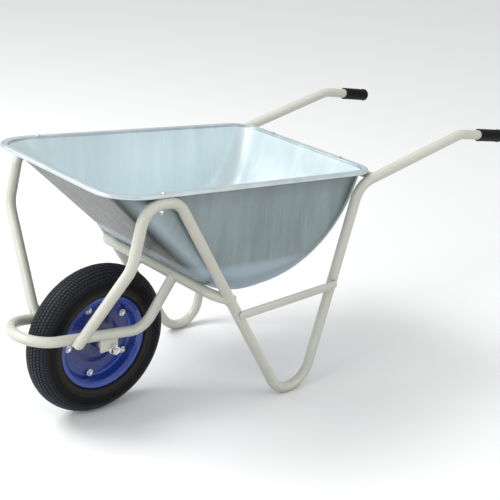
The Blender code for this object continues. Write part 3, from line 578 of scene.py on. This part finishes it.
def tray_rows(offset, front_steps=14, belly_steps=34, edge_steps=10, flat_steps=5):
    """Rows of points across the tray, from its front wall to its rear one."""
    facing = front_wall_angle()
    centre = np.array((BELLY[0], 0.0, BELLY[1]))
    top = below_rim(RIM_FRONT_X - RIM_WIDTH)
    rear = below_rim(RIM_REAR_X + RIM_WIDTH)
    low = centre + BELLY_RADIUS * np.array((cos(facing), 0.0, sin(facing)))
    back = centre + BELLY_RADIUS * np.array((cos(REAR_WALL_ANGLE), 0.0, sin(REAR_WALL_ANGLE)))
    targets = [mix(top, low, k / front_steps) for k in range(front_steps)]
    for k in range(belly_steps):
        a = mix(facing, REAR_WALL_ANGLE, k / belly_steps)
        targets.append(centre + BELLY_RADIUS * np.array((cos(a), 0.0, sin(a))))
    targets += [mix(back, rear, k / 3) for k in range(4)]
    across = np.array((0.0, 1.0, 0.0))
    rows = []
    for k, target in enumerate(targets):
        eye = below_rim(mix(0.4700, -0.1100, k / (len(targets) - 1)))
        length = np.linalg.norm(target - eye)
        ahead = (target - eye) / length
        _, half_width, radius = tray_section(target[0], target[2])
        edge = arc(half_width - radius, length - radius, radius, radius, 0, 90, edge_steps)
        left = [atan2(deep, wide) for wide, deep in edge]
        left = [left[0] * i / flat_steps for i in range(flat_steps)] + left
        middle = [mix(left[-1], pi / 2, i / flat_steps) for i in range(1, flat_steps + 1)]
        left += middle
        b = np.array(left + [pi - a for a in left[-2::-1]])[:, None]
        directions = np.cos(b) * across + np.sin(b) * ahead
        near, far = np.zeros(len(b)), np.full(len(b), 0.9)
        for _ in range(34):
            at = (near + far) / 2
            p = eye + directions * at[:, None]
            inside = tray_distance(p[:, 0], p[:, 1], p[:, 2]) < offset
            near, far = np.where(inside, at, near), np.where(inside, far, at)
        rows.append(eye + directions * near[:, None])
    return rows


def border_of(rows):
    last = len(rows[0]) - 1
    loop = list(rows[0]) + [row[last] for row in rows[1:]]
    return loop + list(rows[-1][:last][::-1]) + [row[0] for row in rows[-2:0:-1]]


def rim_section():
    """The flange and its rolled edge: (out from the wall, up from the rim's plane)."""
    edge = RIM_WIDTH - RIM_BEAD
    middle = RIM_TOP - RIM_BEAD
    dip = RIM_TOP - 0.0007
    section = [(-TRAY_SHEET, -0.0025), (-TRAY_SHEET * 0.6, 0.0004), (0.0006, 0.0022), (0.0024, dip)]
    section += [(edge - 0.0062, dip), (edge - 0.0046, dip - 0.0002)]
    section += arc(edge, middle, RIM_BEAD, RIM_BEAD, 140, -200, 22)
    under = dip - TRAY_SHEET
    section += [(edge - 0.0058, under), (0.0030, under), (0.0012, 0.0010), (0.0, -0.0026)]
    return section


def make_tray():
    inner = tray_rows(-TRAY_SHEET)
    outer = tray_rows(0.0)
    loop = np.array(border_of(outer))
    down = tray_down()
    lifted = loop - down * WALL_DROP
    away = tray_distance(*lifted.T)
    tiny = 1e-5
    slope = np.array([tray_distance(*(lifted + shift).T) - away for shift in np.eye(3) * tiny]).T / tiny
    slope -= (slope @ down)[:, None] * down
    steep = np.linalg.norm(slope, axis=1)[:, None]
    outwards = slope / steep
    level = lifted - outwards * away[:, None] / steep
    rim = [level + outwards * reach - down * rise for reach, rise in rim_section()]
    rows, width = len(inner), len(inner[0])
    points = [p for row in inner for p in row] + [p for row in outer for p in row]
    index = np.arange(rows * width).reshape(rows, width)
    faces, kinds = [], []
    for base in (0, rows * width):
        for i in range(rows - 1):
            for j in range(width - 1):
                a, b = index[i, j] + base, index[i, j + 1] + base
                c, d = index[i + 1, j + 1] + base, index[i + 1, j] + base
                faces.append((a, b, c, d))
                kinds.append(IN if base == 0 else OUT)
    strips = [border_of(index)]
    start = len(points)
    for ring in rim:
        strips.append(list(range(start, start + len(ring))))
        points += list(ring)
        start += len(ring)
    strips.append([v + rows * width for v in border_of(index)])
    for k, (near, far) in enumerate(zip(strips[:-1], strips[1:])):
        for i in range(len(near)):
            j = (i + 1) % len(near)
            faces.append((near[i], near[j], far[j], far[i]))
            # The CREASED strips get the painted shade of the darker crease material.
            kinds.append(IN if k < IN_END else CREASED if k < CREASED_END else
                         ROLLED if k < ROLLED_END else OUT)
    made = build("tray_sheet", points, faces, [INSIDE, OUTSIDE, RIM_METAL, PAINTED_CREASE_SHADE], 50.0)
    made.data.polygons.foreach_set("material_index", np.array(kinds, dtype=np.int32))
    return seat(made, "frame", "galvanised", "tray_pan")


# ------------------------------------------------------------------ frame tubes
def mirrored(corners, sign):
    return [((x, y * sign, z), radius) for (x, y, z), radius in corners]


def tube(name, path, radius, body_nodes, sides=40):
    rings = path_rings(path, [radius] * len(path), sides)
    bore = path_rings(path, [radius - TUBE_WALL] * len(path), sides)
    points, faces = skin(rings + bore[::-1], looped=True)
    return seat(build(name, points, faces, PAINT), "frame", "frame_paint", *body_nodes)


def surface_of(made):
    bm = bmesh.new()
    bm.from_mesh(made.data)
    tree = BVHTree.FromBMesh(bm)
    bm.free()
    return tree


def bead_along(name, path, radius, looped=True):
    """A weld's bead: a rope of small overlapping ripples along a path."""
    count = len(path)
    radii = []
    for i in range(count):
        ripple = 0.5 + 0.5 * cos(2 * pi * i / 5.0)
        drift = sin(i * 0.37) * 0.10 + sin(i * 0.113 + 1.0) * 0.12
        end = 1.0 if looped else min(1.0, 0.35 + 0.22 * min(i, count - 1 - i))
        radii.append(radius * (0.86 + 0.20 * ripple + drift * 0.6) * end)
    points, faces = skin(path_rings(path, radii, 12, looped), looped=looped, capped=not looped)
    return seat(build(name, points, faces, PAINT, 70.0), "frame", "frame_paint")


def spaced(points, gap, looped=True):
    """The same line with points at an even distance."""
    line = list(points) + ([points[0]] if looped else [])
    lengths = [0.0]
    for a, b in zip(line[:-1], line[1:]):
        lengths.append(lengths[-1] + (b - a).length)
    count = max(6, round(lengths[-1] / gap))
    even, k = [], 0
    for i in range(count if looped else count + 1):
        target = lengths[-1] * i / count
        while k < len(lengths) - 2 and lengths[k + 1] < target:
            k += 1
        t = (target - lengths[k]) / max(lengths[k + 1] - lengths[k], 1e-9)
        even.append(line[k].lerp(line[k + 1], t))
    return even


def weld_ring(name, start, direction, radius, surface, bead=0.0026):
    """The bead where a tube, running from start, meets another piece."""
    direction = Vector(direction).normalized()
    side = direction.orthogonal().normalized()
    other = direction.cross(side)
    points = []
    for k in range(96):
        a = 2 * pi * k / 96
        origin = Vector(start) + (side * cos(a) + other * sin(a)) * radius
        hit = surface.ray_cast(origin, direction, 0.12)[0]
        if hit is not None:
            points.append(hit)
    if len(points) > 40:
        bead_along(name, spaced(points, WELD_STEP), bead)


def make_frame():
    side_tubes, hoop_x, hoop_z = {}, *HOOP_FRONT
    bar_x = BELLY[0] + (BELLY_RADIUS + TUBE_RADIUS + 0.0003) * cos(BAR_ANGLE)
    bar_z = BELLY[1] + (BELLY_RADIUS + TUBE_RADIUS + 0.0003) * sin(BAR_ANGLE)
    for side, sign in SIDES:
        path = rounded_path(mirrored(SIDE_TUBE, sign))
        made = tube(side + "_frame_tube", path, TUBE_RADIUS, [side + "_side_tube"])
        trim_low_end(made)
        side_tubes[side] = surface_of(made)
    w = HOOP_HALF_WIDTH
    left = [((bar_x, w, bar_z), 0.0), ((HOOP_BEND[0], w, HOOP_BEND[1]), 0.065)]
    left += [((hoop_x, w, hoop_z), w * 0.985)]
    tube("wheel_guard", rounded_path(left + mirrored(left, -1)[::-1]), TUBE_RADIUS, ["guard_hoop"])
    end = ((bar_x - 0.046, BAR_HALF_WIDTH + 0.011, bar_z - 0.018), 0.0)
    half = [end, ((bar_x, BAR_HALF_WIDTH, bar_z), 0.040)]
    bar = tube("support_bar", rounded_path(half + mirrored(half, -1)[::-1]), TUBE_RADIUS,
               ["tray_support_bar"])
    low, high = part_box("rear_cross_tube")
    reach = high.y
    x, z = (low.x + high.x) / 2, (low.z + high.z) / 2
    tube("rear_cross_member", [Vector((x, -reach, z)), Vector((x, reach, z))], CROSS_TUBE_RADIUS,
         ["rear_cross_tube"])
    bar_surface = surface_of(bar)
    for side, sign in SIDES:
        aim = Vector((bar_x, w * sign, bar_z)) - Vector((HOOP_BEND[0], w * sign, HOOP_BEND[1]))
        start = Vector((bar_x, w * sign, bar_z)) - aim.normalized() * 0.05
        weld_ring(side + "_hoop_bar_weld", start, aim, TUBE_RADIUS, bar_surface)
        tip = Vector((end[0][0], end[0][1] * sign, end[0][2]))
        bend = Vector((bar_x, BAR_HALF_WIDTH * sign, bar_z))
        along = (tip - bend).normalized()
        weld_ring(side + "_bar_leg_weld", tip - along * 0.034, along, TUBE_RADIUS, side_tubes[side])
        weld_ring(side + "_cross_weld", (x, sign * (reach - 0.05), z), (0, sign, 0), CROSS_TUBE_RADIUS,
                  side_tubes[side], 0.0020)
        make_hoop_weld(side, sign)
        make_brace(side, sign)
        make_bracket(side, sign)
        make_grip(side, sign)


def trim_low_end(made):
    """The tube's low end is cut level with the underside of the guard hoop."""
    bm = bmesh.new()
    bm.from_mesh(made.data)
    near = [v for v in bm.verts if v.co.z < 0.30 and v.co.x > 0.45]
    faces = {f for v in near for f in v.link_faces}
    edges = {e for f in faces for e in f.edges}
    verts = {v for f in faces for v in f.verts}
    geometry = list(verts) + list(edges) + list(faces)
    bmesh.ops.bisect_plane(bm, geom=geometry, plane_co=(0, 0, TUBE_END_Z), plane_no=(0, 0, -1),
                           clear_outer=True)
    low = [v for v in bm.verts if v.co.z < TUBE_END_Z - 1e-6 and v.co.x > 0.45]
    bmesh.ops.delete(bm, geom=low, context="VERTS")
    rim = [e for e in bm.edges if e.is_boundary]
    bmesh.ops.bridge_loops(bm, edges=rim)
    bmesh.ops.recalc_face_normals(bm, faces=bm.faces)
    bm.to_mesh(made.data)
    bm.free()
    made.data.set_sharp_from_angle(angle=radians(38.0))


def make_hoop_weld(side, sign):
    """Beads up both flanks of the frame tube where it lies on the hoop's arm."""
    low, high = Vector(SIDE_TUBE[0][0]), Vector(SIDE_TUBE[1][0])
    along = (high - low).normalized()
    angle = radians(118.0)
    for flank, turn in (("front", 1), ("rear", -1)):
        points = []
        for k in range(14):
            z = TUBE_END_Z + 0.0015 + k * 0.0022
            centre = low + along * ((z - low.z) / along.z)
            point = centre + Vector((turn * sin(angle), cos(angle), 0.0)) * TUBE_RADIUS
            points.append(Vector((point.x, point.y * sign, point.z)))
        bead_along(side + "_" + flank + "_tube_weld", spaced(points, WELD_STEP, False), 0.0026, looped=False)


# --------------------------------------------------------------- brace, bracket
def slab(name, outline, thickness, edge, place, lean, nodes, sign):
    """A flat plate with softened edges; its outline is in x and z."""
    centre = Vector((sum(p[0] for p in outline) / len(outline), sum(p[1] for p in outline) / len(outline)))
    rings = []
    for y, inset in ((0.0, edge), (edge * 0.35, edge * 0.25), (edge, 0.0), (thickness - edge, 0.0),
                     (thickness - edge * 0.35, edge * 0.25), (thickness, edge)):
        ring = []
        for i, p in enumerate(outline):
            here = Vector(p)
            back, ahead = here - Vector(outline[i - 1]), Vector(outline[(i + 1) % len(outline)]) - here
            way = (back.normalized() + ahead.normalized()).normalized()
            inward = Vector((-way.y, way.x))
            if inward.dot(centre - here) < 0:
                inward = -inward
            q = here + inward * inset
            ring.append(Vector((q.x, y, q.y)))
        rings.append(ring)
    points, faces = skin(rings, capped=True)
    turn = Matrix.Rotation(lean, 3, "X")
    points = [turn @ p + Vector(place) for p in points]
    points = [Vector((p.x, p.y * sign, p.z)) for p in points]
    return seat(build(name, points, faces, PAINT, 30.0), "frame", "frame_paint", *nodes)


def make_brace(side, sign):
    """Flat strap with round ends, welded to the outer faces of both legs."""
    low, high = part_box(side + "_leg_brace")
    start_x, end_x = high.x - BRACE_FRONT_TRIM, low.x + BRACE_REAR_TRIM
    half = BRACE_WIDTH / 2
    outline = arc(start_x - half, 0, half, half, -90, 90, 14) + arc(end_x + half, 0, half, half, 90, 270, 14)
    a, b = Vector(SIDE_TUBE[3][0]), Vector(SIDE_TUBE[4][0])
    lean = (a.y - b.y) / (a.z - b.z)
    base = min(abs(low.y), abs(high.y)) + half * sin(atan2(lean, 1.0))
    slab(side + "_brace_strap", outline, BRACE_THICKNESS, 0.0008, (0, base, BRACE_Z), -atan2(lean, 1.0),
         [side + "_leg_brace"], sign)
    for label, first, second in (("front", 3, 4), ("rear", 5, 4)):
        p, q = Vector(SIDE_TUBE[first][0]), Vector(SIDE_TUBE[second][0])
        for edge, z in (("top", BRACE_Z + half), ("bottom", BRACE_Z - half)):
            at = p + (q - p) * ((z - p.z) / (q.z - p.z))
            points = []
            for k in range(13):
                a = radians(50 + 80 * k / 12)
                points.append(Vector((at.x + TUBE_RADIUS * cos(a), (at.y + TUBE_RADIUS * sin(a)) * sign, z)))
            bead_along(side + "_brace_" + label + "_" + edge + "_weld", spaced(points, WELD_STEP, False),
                       0.0019, looped=False)


def make_bracket(side, sign):
    """Plate under the hoop's arm that the axle passes through."""
    low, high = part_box(side + "_axle_bracket")
    lug, drop = 0.0128, 0.0015
    outline = fillet([(-lug, 0.0, 0.0), (-lug, 0.0275, 0.001), (0.036, 0.0345, 0.001), (0.036, -drop, 0.003),
                      (lug, -drop, 0.0)], 4)
    outline += arc(0, 0, lug, lug, -8, -172, 18)
    outline = [(AXLE.x + x, AXLE.z + z) for x, z in outline]
    inner = min(abs(low.y), abs(high.y))
    slab(side + "_axle_plate", outline, 0.005, 0.0007, (0, inner, 0), 0.0,
         [side + "_axle_bracket"], sign)
    rise = (HOOP_FRONT[1] - HOOP_BEND[1]) / (HOOP_FRONT[0] - HOOP_BEND[0])
    for face, y in (("outer", inner + 0.0055), ("inner", inner - 0.0005)):
        points = []
        for k in range(30):
            x = AXLE.x - 0.0120 + 0.0465 * k / 29
            arm = HOOP_BEND[1] + rise * (x - HOOP_BEND[0])
            offset = y - HOOP_HALF_WIDTH
            z = arm - sqrt(TUBE_RADIUS ** 2 - offset ** 2) - 0.0008
            points.append(Vector((x, y * sign, z)))
        bead_along(side + "_" + face + "_plate_weld", spaced(points, WELD_STEP, False), 0.0022, looped=False)


def make_grip(side, sign):
    """Rubber sleeve with a soft closed end, a collar and fine rings."""
    path = rounded_path(mirrored(SIDE_TUBE, sign))
    end, before = path[-1], path[-2]
    direction = (end - before).normalized()
    length, radius, cap = 0.0930, 0.0165, 0.0035
    bore = TUBE_RADIUS + 0.0001
    profile = [(bore, length - cap), (bore, 0.0), (radius - 0.0012, 0.0), (radius - 0.0003, 0.0004)]
    profile += [(radius, 0.0014), (radius, 0.0040), (radius - 0.0007, 0.0048)]
    z = 0.0056
    while z < length - 0.014:
        profile += [(radius - 0.0007, z), (radius - 0.0002, z + 0.0008), (radius - 0.0002, z + 0.0030)]
        z += 0.0038
    collar = radius + 0.0009
    profile += [(radius - 0.0007, length - 0.0100), (radius - 0.0002, length - 0.0080)]
    profile += arc(collar - 0.0045, length - 0.0055, 0.0045, 0.0055, -5, 90, 8)
    profile += [(radius * 0.45, length), (0.0008, length - 0.0002)]
    rings = [circle(r, height, 56) for r, height in profile]
    start = end - direction * (length - cap - 0.0003)
    fitting(side + "_grip_sleeve", rings, start, direction, "frame", side + "_grip", GRIP,
            "grip_rubber", 30.0)


# ----------------------------------------------------------------------- wheel
TREAD_ROWS = 13


def tyre_stations():
    """Across the tyre: (radius, offset, tread row or none), from bead to bead."""
    middle, half_height, half_width = 0.139, 0.0420, 0.0405
    crown_edge = 73.0
    stations = []
    side = [(0.1030, 0.0150), (0.1026, 0.0215), (0.1052, 0.0262), (0.1100, 0.0285), (0.1160, 0.0292)]
    side += [(0.1172, 0.0300), (0.1178, 0.0330), (0.1200, 0.0352), (0.1232, 0.0366)]
    side += [(0.1262, 0.0375), (0.1270, 0.0384), (0.1290, 0.0386), (0.1298, 0.0379)]
    for a in np.linspace(102.0, crown_edge + 3.0, 12):
        t = radians(a)
        side.append((middle + half_height * cos(t), half_width * sin(t)))
    for r, y in side:
        stations.append((r, y, None))
    rows = TREAD_ROWS
    span = 2 * crown_edge / rows
    for row in range(rows):
        start = crown_edge - row * span
        for k, a in enumerate((start, start - span * 0.10, start - span * 0.16, start - span * 0.50,
                               start - span * 0.84, start - span * 0.90)):
            t = radians(a)
            stations.append((middle + half_height * cos(t), half_width * sin(t), (row, 2 <= k <= 4, t)))
    stations += [(r, -y, None) for r, y, _ in stations[:len(side)][::-1]]
    return stations


def make_tyre():
    """Casing with moulded rings and a staggered block tread."""
    pitches = 144
    pitch = 2 * pi / pitches
    stations = tyre_stations()
    lines = ((0.0, False), (0.12, False), (0.19, True), (0.93, True))
    depth = 0.0040
    inner = arc(0.139, 0, 0.0385, 0.0345, -112, 112, 20)[::-1]
    rings = []
    for p in range(pitches):
        for start, raised in lines:
            base = (p + start) * pitch
            ring = []
            for radius, offset, tread in stations:
                a, r, y = base, radius, offset
                if tread is not None:
                    row, top, lean = tread
                    a += pitch * (0.5 if row % 2 else 0.0)
                    if top and raised:
                        r += depth * cos(lean) ** 2
                        y += depth * sin(lean) * cos(lean)
                ring.append(Vector((AXLE.x + r * cos(a), y, AXLE.z + r * sin(a))))
            for r, y in inner:
                ring.append(Vector((AXLE.x + r * cos(base), y, AXLE.z + r * sin(base))))
            rings.append(ring)
    points, faces = skin(rings, looped=True)
    made = build("tyre_casing", points, faces, TYRE, 32.0)
    seat(made, "wheel", "tyre_rubber", "tyre")
    make_nubs()


def make_nubs():
    """Small moulded vent nubs in two rings on each sidewall."""
    points, faces = [], []
    for sign in (1, -1):
        for reach, depth, count, turn in ((0.1335, 0.0400, 40, 0.35), (0.1470, 0.0397, 24, 0.10)):
            for k in range(count):
                a = 2 * pi * (k + turn) / count
                centre = Vector((AXLE.x + reach * cos(a), sign * depth, AXLE.z + reach * sin(a)))
                rings = []
                for radius, height in ((0.0013, -0.0012), (0.0012, 0.0005), (0.0007, 0.0010)):
                    angles = [2 * pi * i / 8 for i in range(8)]
                    rings.append([centre + Vector((radius * cos(t), sign * height, radius * sin(t)))
                                  for t in angles])
                ring_points, ring_faces = skin(rings, capped=True)
                base = len(points)
                points += ring_points
                faces += [tuple(v + base for v in f) for f in ring_faces]
    seat(build("tyre_vent_nubs", points, faces, TYRE), "wheel", "tyre_rubber")


def rim_profile():
    """Pressed half rim: rolled lip, bead seat, slope, flat disc, raised centre."""
    corners = [
        (0.1166, 0.0300, 0.0004), (0.1166, 0.0322, 0.0010), (0.1135, 0.0336, 0.0012),
        (0.1070, 0.0318, 0.0030), (0.1003, 0.0255, 0.0040), (0.0985, 0.0140, 0.0060),
        (0.0952, 0.0050, 0.0012), (0.0936, 0.0036, 0.0010), (0.0600, 0.0036, 0.0080),
        (0.0440, 0.0114, 0.0080), (0.0280, 0.0120, 0.0020), (0.0262, 0.0132, 0.0008),
        (0.0208, 0.0132, 0.0005), (0.0208, 0.0096, 0.0), (0.0295, 0.0096, 0.0020),
        (0.0430, 0.0090, 0.0080), (0.0592, 0.0004, 0.0080), (0.0958, 0.0004, 0.0040),
        (0.1002, 0.0130, 0.0050), (0.1018, 0.0245, 0.0040), (0.1075, 0.0292, 0.0030),
    ]
    return fillet(corners, 5)


def make_rims():
    profile = rim_profile()
    turned("left_half_rim", profile, 144, BLUE, "wheel", "rim_paint", ["left_rim_half"], AXLE, 55.0)
    mirror = [(r, -y) for r, y in profile[::-1]]
    turned("right_half_rim", mirror, 144, BLUE, "wheel", "rim_paint", ["right_rim_half"], AXLE, 55.0)


def make_hub():
    """Sleeve, and a ball bearing in each end with its pressed shield."""
    half = [(0.0205, 0.0330), (0.0195, 0.0340), (0.0163, 0.0340), (0.0163, 0.0237), (0.0135, 0.0237)]
    profile = [(r, -y) for r, y in half[::-1]] + half
    turned("hub_barrel", profile, 96, BLUE, "wheel", "rim_paint", ["hub_sleeve"], AXLE)
    for side, sign in SIDES:
        outer = fillet([(0.0160, 0.0340, 0.0004), (0.0160, 0.0240, 0.0004), (0.0130, 0.0240, 0.0002),
                        (0.0130, 0.0340, 0.0002)], 3)
        inner = fillet([(0.0092, 0.0340, 0.0003), (0.0092, 0.0240, 0.0003), (0.0063, 0.0240, 0.0004),
                        (0.0063, 0.0340, 0.0004)], 3)
        shield = fillet([(0.0129, 0.0334, 0.0), (0.0129, 0.0326, 0.0), (0.0112, 0.0322, 0.0006),
                         (0.0095, 0.0326, 0.0), (0.0095, 0.0334, 0.0), (0.0112, 0.0330, 0.0006)], 3)
        for name, profile, body, nodes in (
                ("_bearing_outer_race", outer, "wheel", [side + "_bearing_outer_ring"]),
                ("_bearing_inner_race", inner, "frame", [side + "_bearing_inner_ring"]),
                ("_bearing_shield", shield, "wheel", [])):
            shape = [(r, y * sign) for r, y in profile]
            turned(side + name, shape, 72, STEEL, body, "bearing_steel", nodes, AXLE)


def make_valve():
    """Rubber stem through the left half rim, with its ribbed cap."""
    angle = radians(103.0)
    outwards = Vector((cos(angle), 0, sin(angle)))
    lean = (outwards * -0.8 + Vector((0, 0.6, 0))).normalized()
    start = AXLE + outwards * 0.1090 + Vector((0, 0.0003, 0))
    rings = [circle(0.0030, 0.0), circle(0.0030, 0.014), circle(0.0027, 0.016), circle(0.0027, 0.023)]
    rings += threaded(0.0026, 0.0232, 0.030, 0.0008)
    fitting("tyre_valve", rings, start, lean, "wheel", "valve_stem", GRIP, "tyre_rubber", 30.0)
    rings = []
    for r, z in ((0.0034, 0.0), (0.0036, 0.0006), (0.0036, 0.0082), (0.0033, 0.0096), (0.0022, 0.0106),
                 (0.0008, 0.0109)):
        ring = []
        for k in range(HEX_STEPS):
            a = 2 * pi * k / HEX_STEPS
            knurl = 0.0002 * cos(12 * a) if 0.0005 < z < 0.009 else 0.0
            ring.append(((r + knurl - 0.0001) * cos(a), (r + knurl - 0.0001) * sin(a), z))
        rings.append(ring)
    fitting("valve_dust_cap", rings, start + lean * 0.0303, lean, "wheel", "valve_cap", PLASTIC,
            "cap_plastic", 40.0)


def make_wheel_bolts():
    """M10 bolts through both half rims, heads on the right and nuts on the left."""
    flat, radius, head_height, nut_height, face = 0.0080, 0.0050, 0.0064, 0.0080, 0.0038
    count, ring, length, plain, pitch = 5, 0.085, 0.0185, 0.0078, 0.0015
    for k in range(count):
        a = radians(71.0) + 2 * pi * k / count
        at = AXLE + Vector((ring * cos(a), 0, ring * sin(a)))
        number = str(k + 1)
        head = [circle(0.0056, 0.0002 - head_height)] + hex_body(flat, -head_height, 0.0, True, False)
        add_bolt("rim_bolt_" + number, head, radius, length, plain, pitch, at - Vector((0, face, 0)),
                 (0, 1, 0), "wheel", "wheel_bolt_" + number)
        add_nut("rim_nut_" + number, flat, radius + 0.0003, nut_height, at + Vector((0, face, 0)), (0, 1, 0),
                "wheel", "wheel_nut_" + number)


def make_axle():
    low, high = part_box("axle_shaft")
    half = (high.y - low.y) / 2
    radius, thread, pitch = 0.0060, 0.028, 0.00125
    body = threaded(radius, half - thread + half, 2 * half - 0.0002, pitch)
    mirror = [[(x, y, 2 * half - z) for x, y, z in ring] for ring in body[::-1]]
    fitting("axle_rod", mirror + body, (AXLE.x, low.y, AXLE.z), (0, 1, 0), "frame", "axle_shaft")
    bore = 0.0063
    for side, sign in SIDES:
        facing = (0, sign, 0)
        for part, maker in (("spacer", add_washer), ("washer", add_washer), ("nut", add_nut)):
            node = side + "_axle_" + part
            low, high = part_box(node)
            near = min(abs(low.y), abs(high.y))
            outer = (high.x - low.x) / 2
            maker(side + "_wheel_" + part, outer, bore, high.y - low.y, (AXLE.x, sign * near, AXLE.z),
                  facing, "frame", node)


# ------------------------------------------------------------- tray fasteners
def make_tray_fasteners():
    down = Vector((RIM_SLOPE, 0, -1)).normalized()
    slope_x = down.x / -down.z
    bore, head = 0.0033, 0.0040
    dome = [circle(0.0008, -0.0024), circle(0.0030, -0.0021), circle(0.0046, -0.0014),
            circle(0.0055, -0.0004), circle(0.0056, 0.0)]
    for end in ("front", "rear"):
        for side, _ in SIDES:
            label = end + "_" + side
            low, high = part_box("tray_bolt_" + label)
            nut_low, nut_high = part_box("tray_nut_" + label)
            washer_low, washer_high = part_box("tray_washer_" + label)
            washer = (washer_low + washer_high) / 2
            nut = (nut_low + nut_high) / 2
            y = (low.y + high.y) / 2
            top = Vector((0.0, y, 0.0))
            top.z = high.z - 0.0006
            top.x = washer.x - (top.z - washer.z) * slope_x
            length = (top.z - low.z) / -down.z - head
            seat_at = top + down * head
            add_bolt("rim_screw_" + label, dome, 0.0030, length, length - 0.016, 0.0010, seat_at, down,
                     "frame", "tray_bolt_" + label)
            add_washer("rim_washer_" + label, 0.0062, bore, 0.0012, washer - down * 0.0006, down, "frame",
                       "tray_washer_" + label)
            add_nut("rim_screw_nut_" + label, 0.0050, bore, 0.0050, nut - down * 0.0025, down, "frame",
                    "tray_nut_" + label)


# ------------------------------------------------------------------ the studio
def make_floor():
    mesh = bpy.data.meshes.new("studio_floor")
    s = 30.0
    mesh.from_pydata([(-s, -s, 0), (s, -s, 0), (s, s, 0), (-s, s, 0)], [], [(0, 1, 2, 3)])
    paper = bpy.data.materials.new("studio_paper")
    paper.use_nodes = True
    shader = paper.node_tree.nodes["Principled BSDF"]
    shader.inputs["Base Color"].default_value = (0.93, 0.93, 0.93, 1.0)
    shader.inputs["Roughness"].default_value = 0.95
    shader.inputs["Specular IOR Level"].default_value = 0.0
    mesh.materials.append(paper)
    add("studio_floor", mesh)


def add_softbox(name, place, target, size, energy, colour=(1.0, 1.0, 1.0)):
    data = bpy.data.lights.new(name, "AREA")
    data.shape = "RECTANGLE"
    data.size, data.size_y = size
    data.energy = energy
    data.color = colour
    made = add(name, data)
    made.location = place
    made.rotation_mode = "QUATERNION"
    made.rotation_quaternion = (Vector(target) - Vector(place)).to_track_quat("-Z", "Y")


def make_lights():
    world = bpy.data.worlds.new("studio")
    bpy.context.scene.world = world
    world.use_nodes = True
    tree = world.node_tree
    back = tree.nodes["Background"]
    place = tree.nodes.new("ShaderNodeTexCoord")
    split = tree.nodes.new("ShaderNodeSeparateXYZ")
    ramp = tree.nodes.new("ShaderNodeValToRGB")
    tree.links.new(place.outputs["Generated"], split.inputs["Vector"])
    tree.links.new(split.outputs["Z"], ramp.inputs["Fac"])
    tree.links.new(ramp.outputs["Color"], back.inputs["Color"])
    points = ramp.color_ramp.elements
    points[0].position, points[0].color = 0.0, (0.50, 0.52, 0.53, 1.0)
    points[1].position, points[1].color = 0.85, (1.0, 1.0, 1.0, 1.0)
    back.inputs["Strength"].default_value = 0.80
    add_softbox("key", (2.2, -1.6, 3.4), (0.1, 0.0, 0.3), (1.8, 1.8), 106.0)
    add_softbox("side", (-1.4, 3.0, 1.9), (0.0, 0.0, 0.4), (1.6, 1.6), 17.0, (0.95, 0.98, 1.0))
    add_softbox("front", (3.6, 0.4, 1.6), (0.3, 0.0, 0.3), (1.4, 1.4), 30.0)


# The camera's place, its turn, lens in millimetres and shift.
CAMERA_PLACE = (1.8801, 2.0645, 1.4454)
CAMERA_TURN = (radians(-131.60), radians(21.72), radians(2.684))
CAMERA_LENS = 84.44
CAMERA_SHIFT = (0.0399, -0.0237)


def make_camera():
    yaw, pitch, roll = CAMERA_TURN
    ahead = Vector((cos(yaw) * cos(pitch), sin(yaw) * cos(pitch), -sin(pitch)))
    right = ahead.cross(Vector((0, 0, 1))).normalized()
    up = right.cross(ahead)
    right, up = right * cos(roll) + up * sin(roll), up * cos(roll) - right * sin(roll)
    data = bpy.data.cameras.new("camera")
    data.sensor_width = 36.0
    data.lens = CAMERA_LENS
    data.shift_x, data.shift_y = CAMERA_SHIFT
    data.clip_end = 200.0
    made = add("camera", data)
    turn = Matrix((right, up, -ahead)).transposed()
    made.matrix_world = Matrix.Translation(CAMERA_PLACE) @ turn.to_4x4()
    bpy.context.scene.camera = made
    bpy.context.scene.view_settings.view_transform = "Standard"


make_camera()
make_floor()
make_lights()
make_tray()
make_frame()
make_tyre()
make_rims()
make_hub()
make_valve()
make_wheel_bolts()
make_axle()
make_tray_fasteners()
for finish in NODES["inner_tube"].material_slots:
    finish.material = TYRE
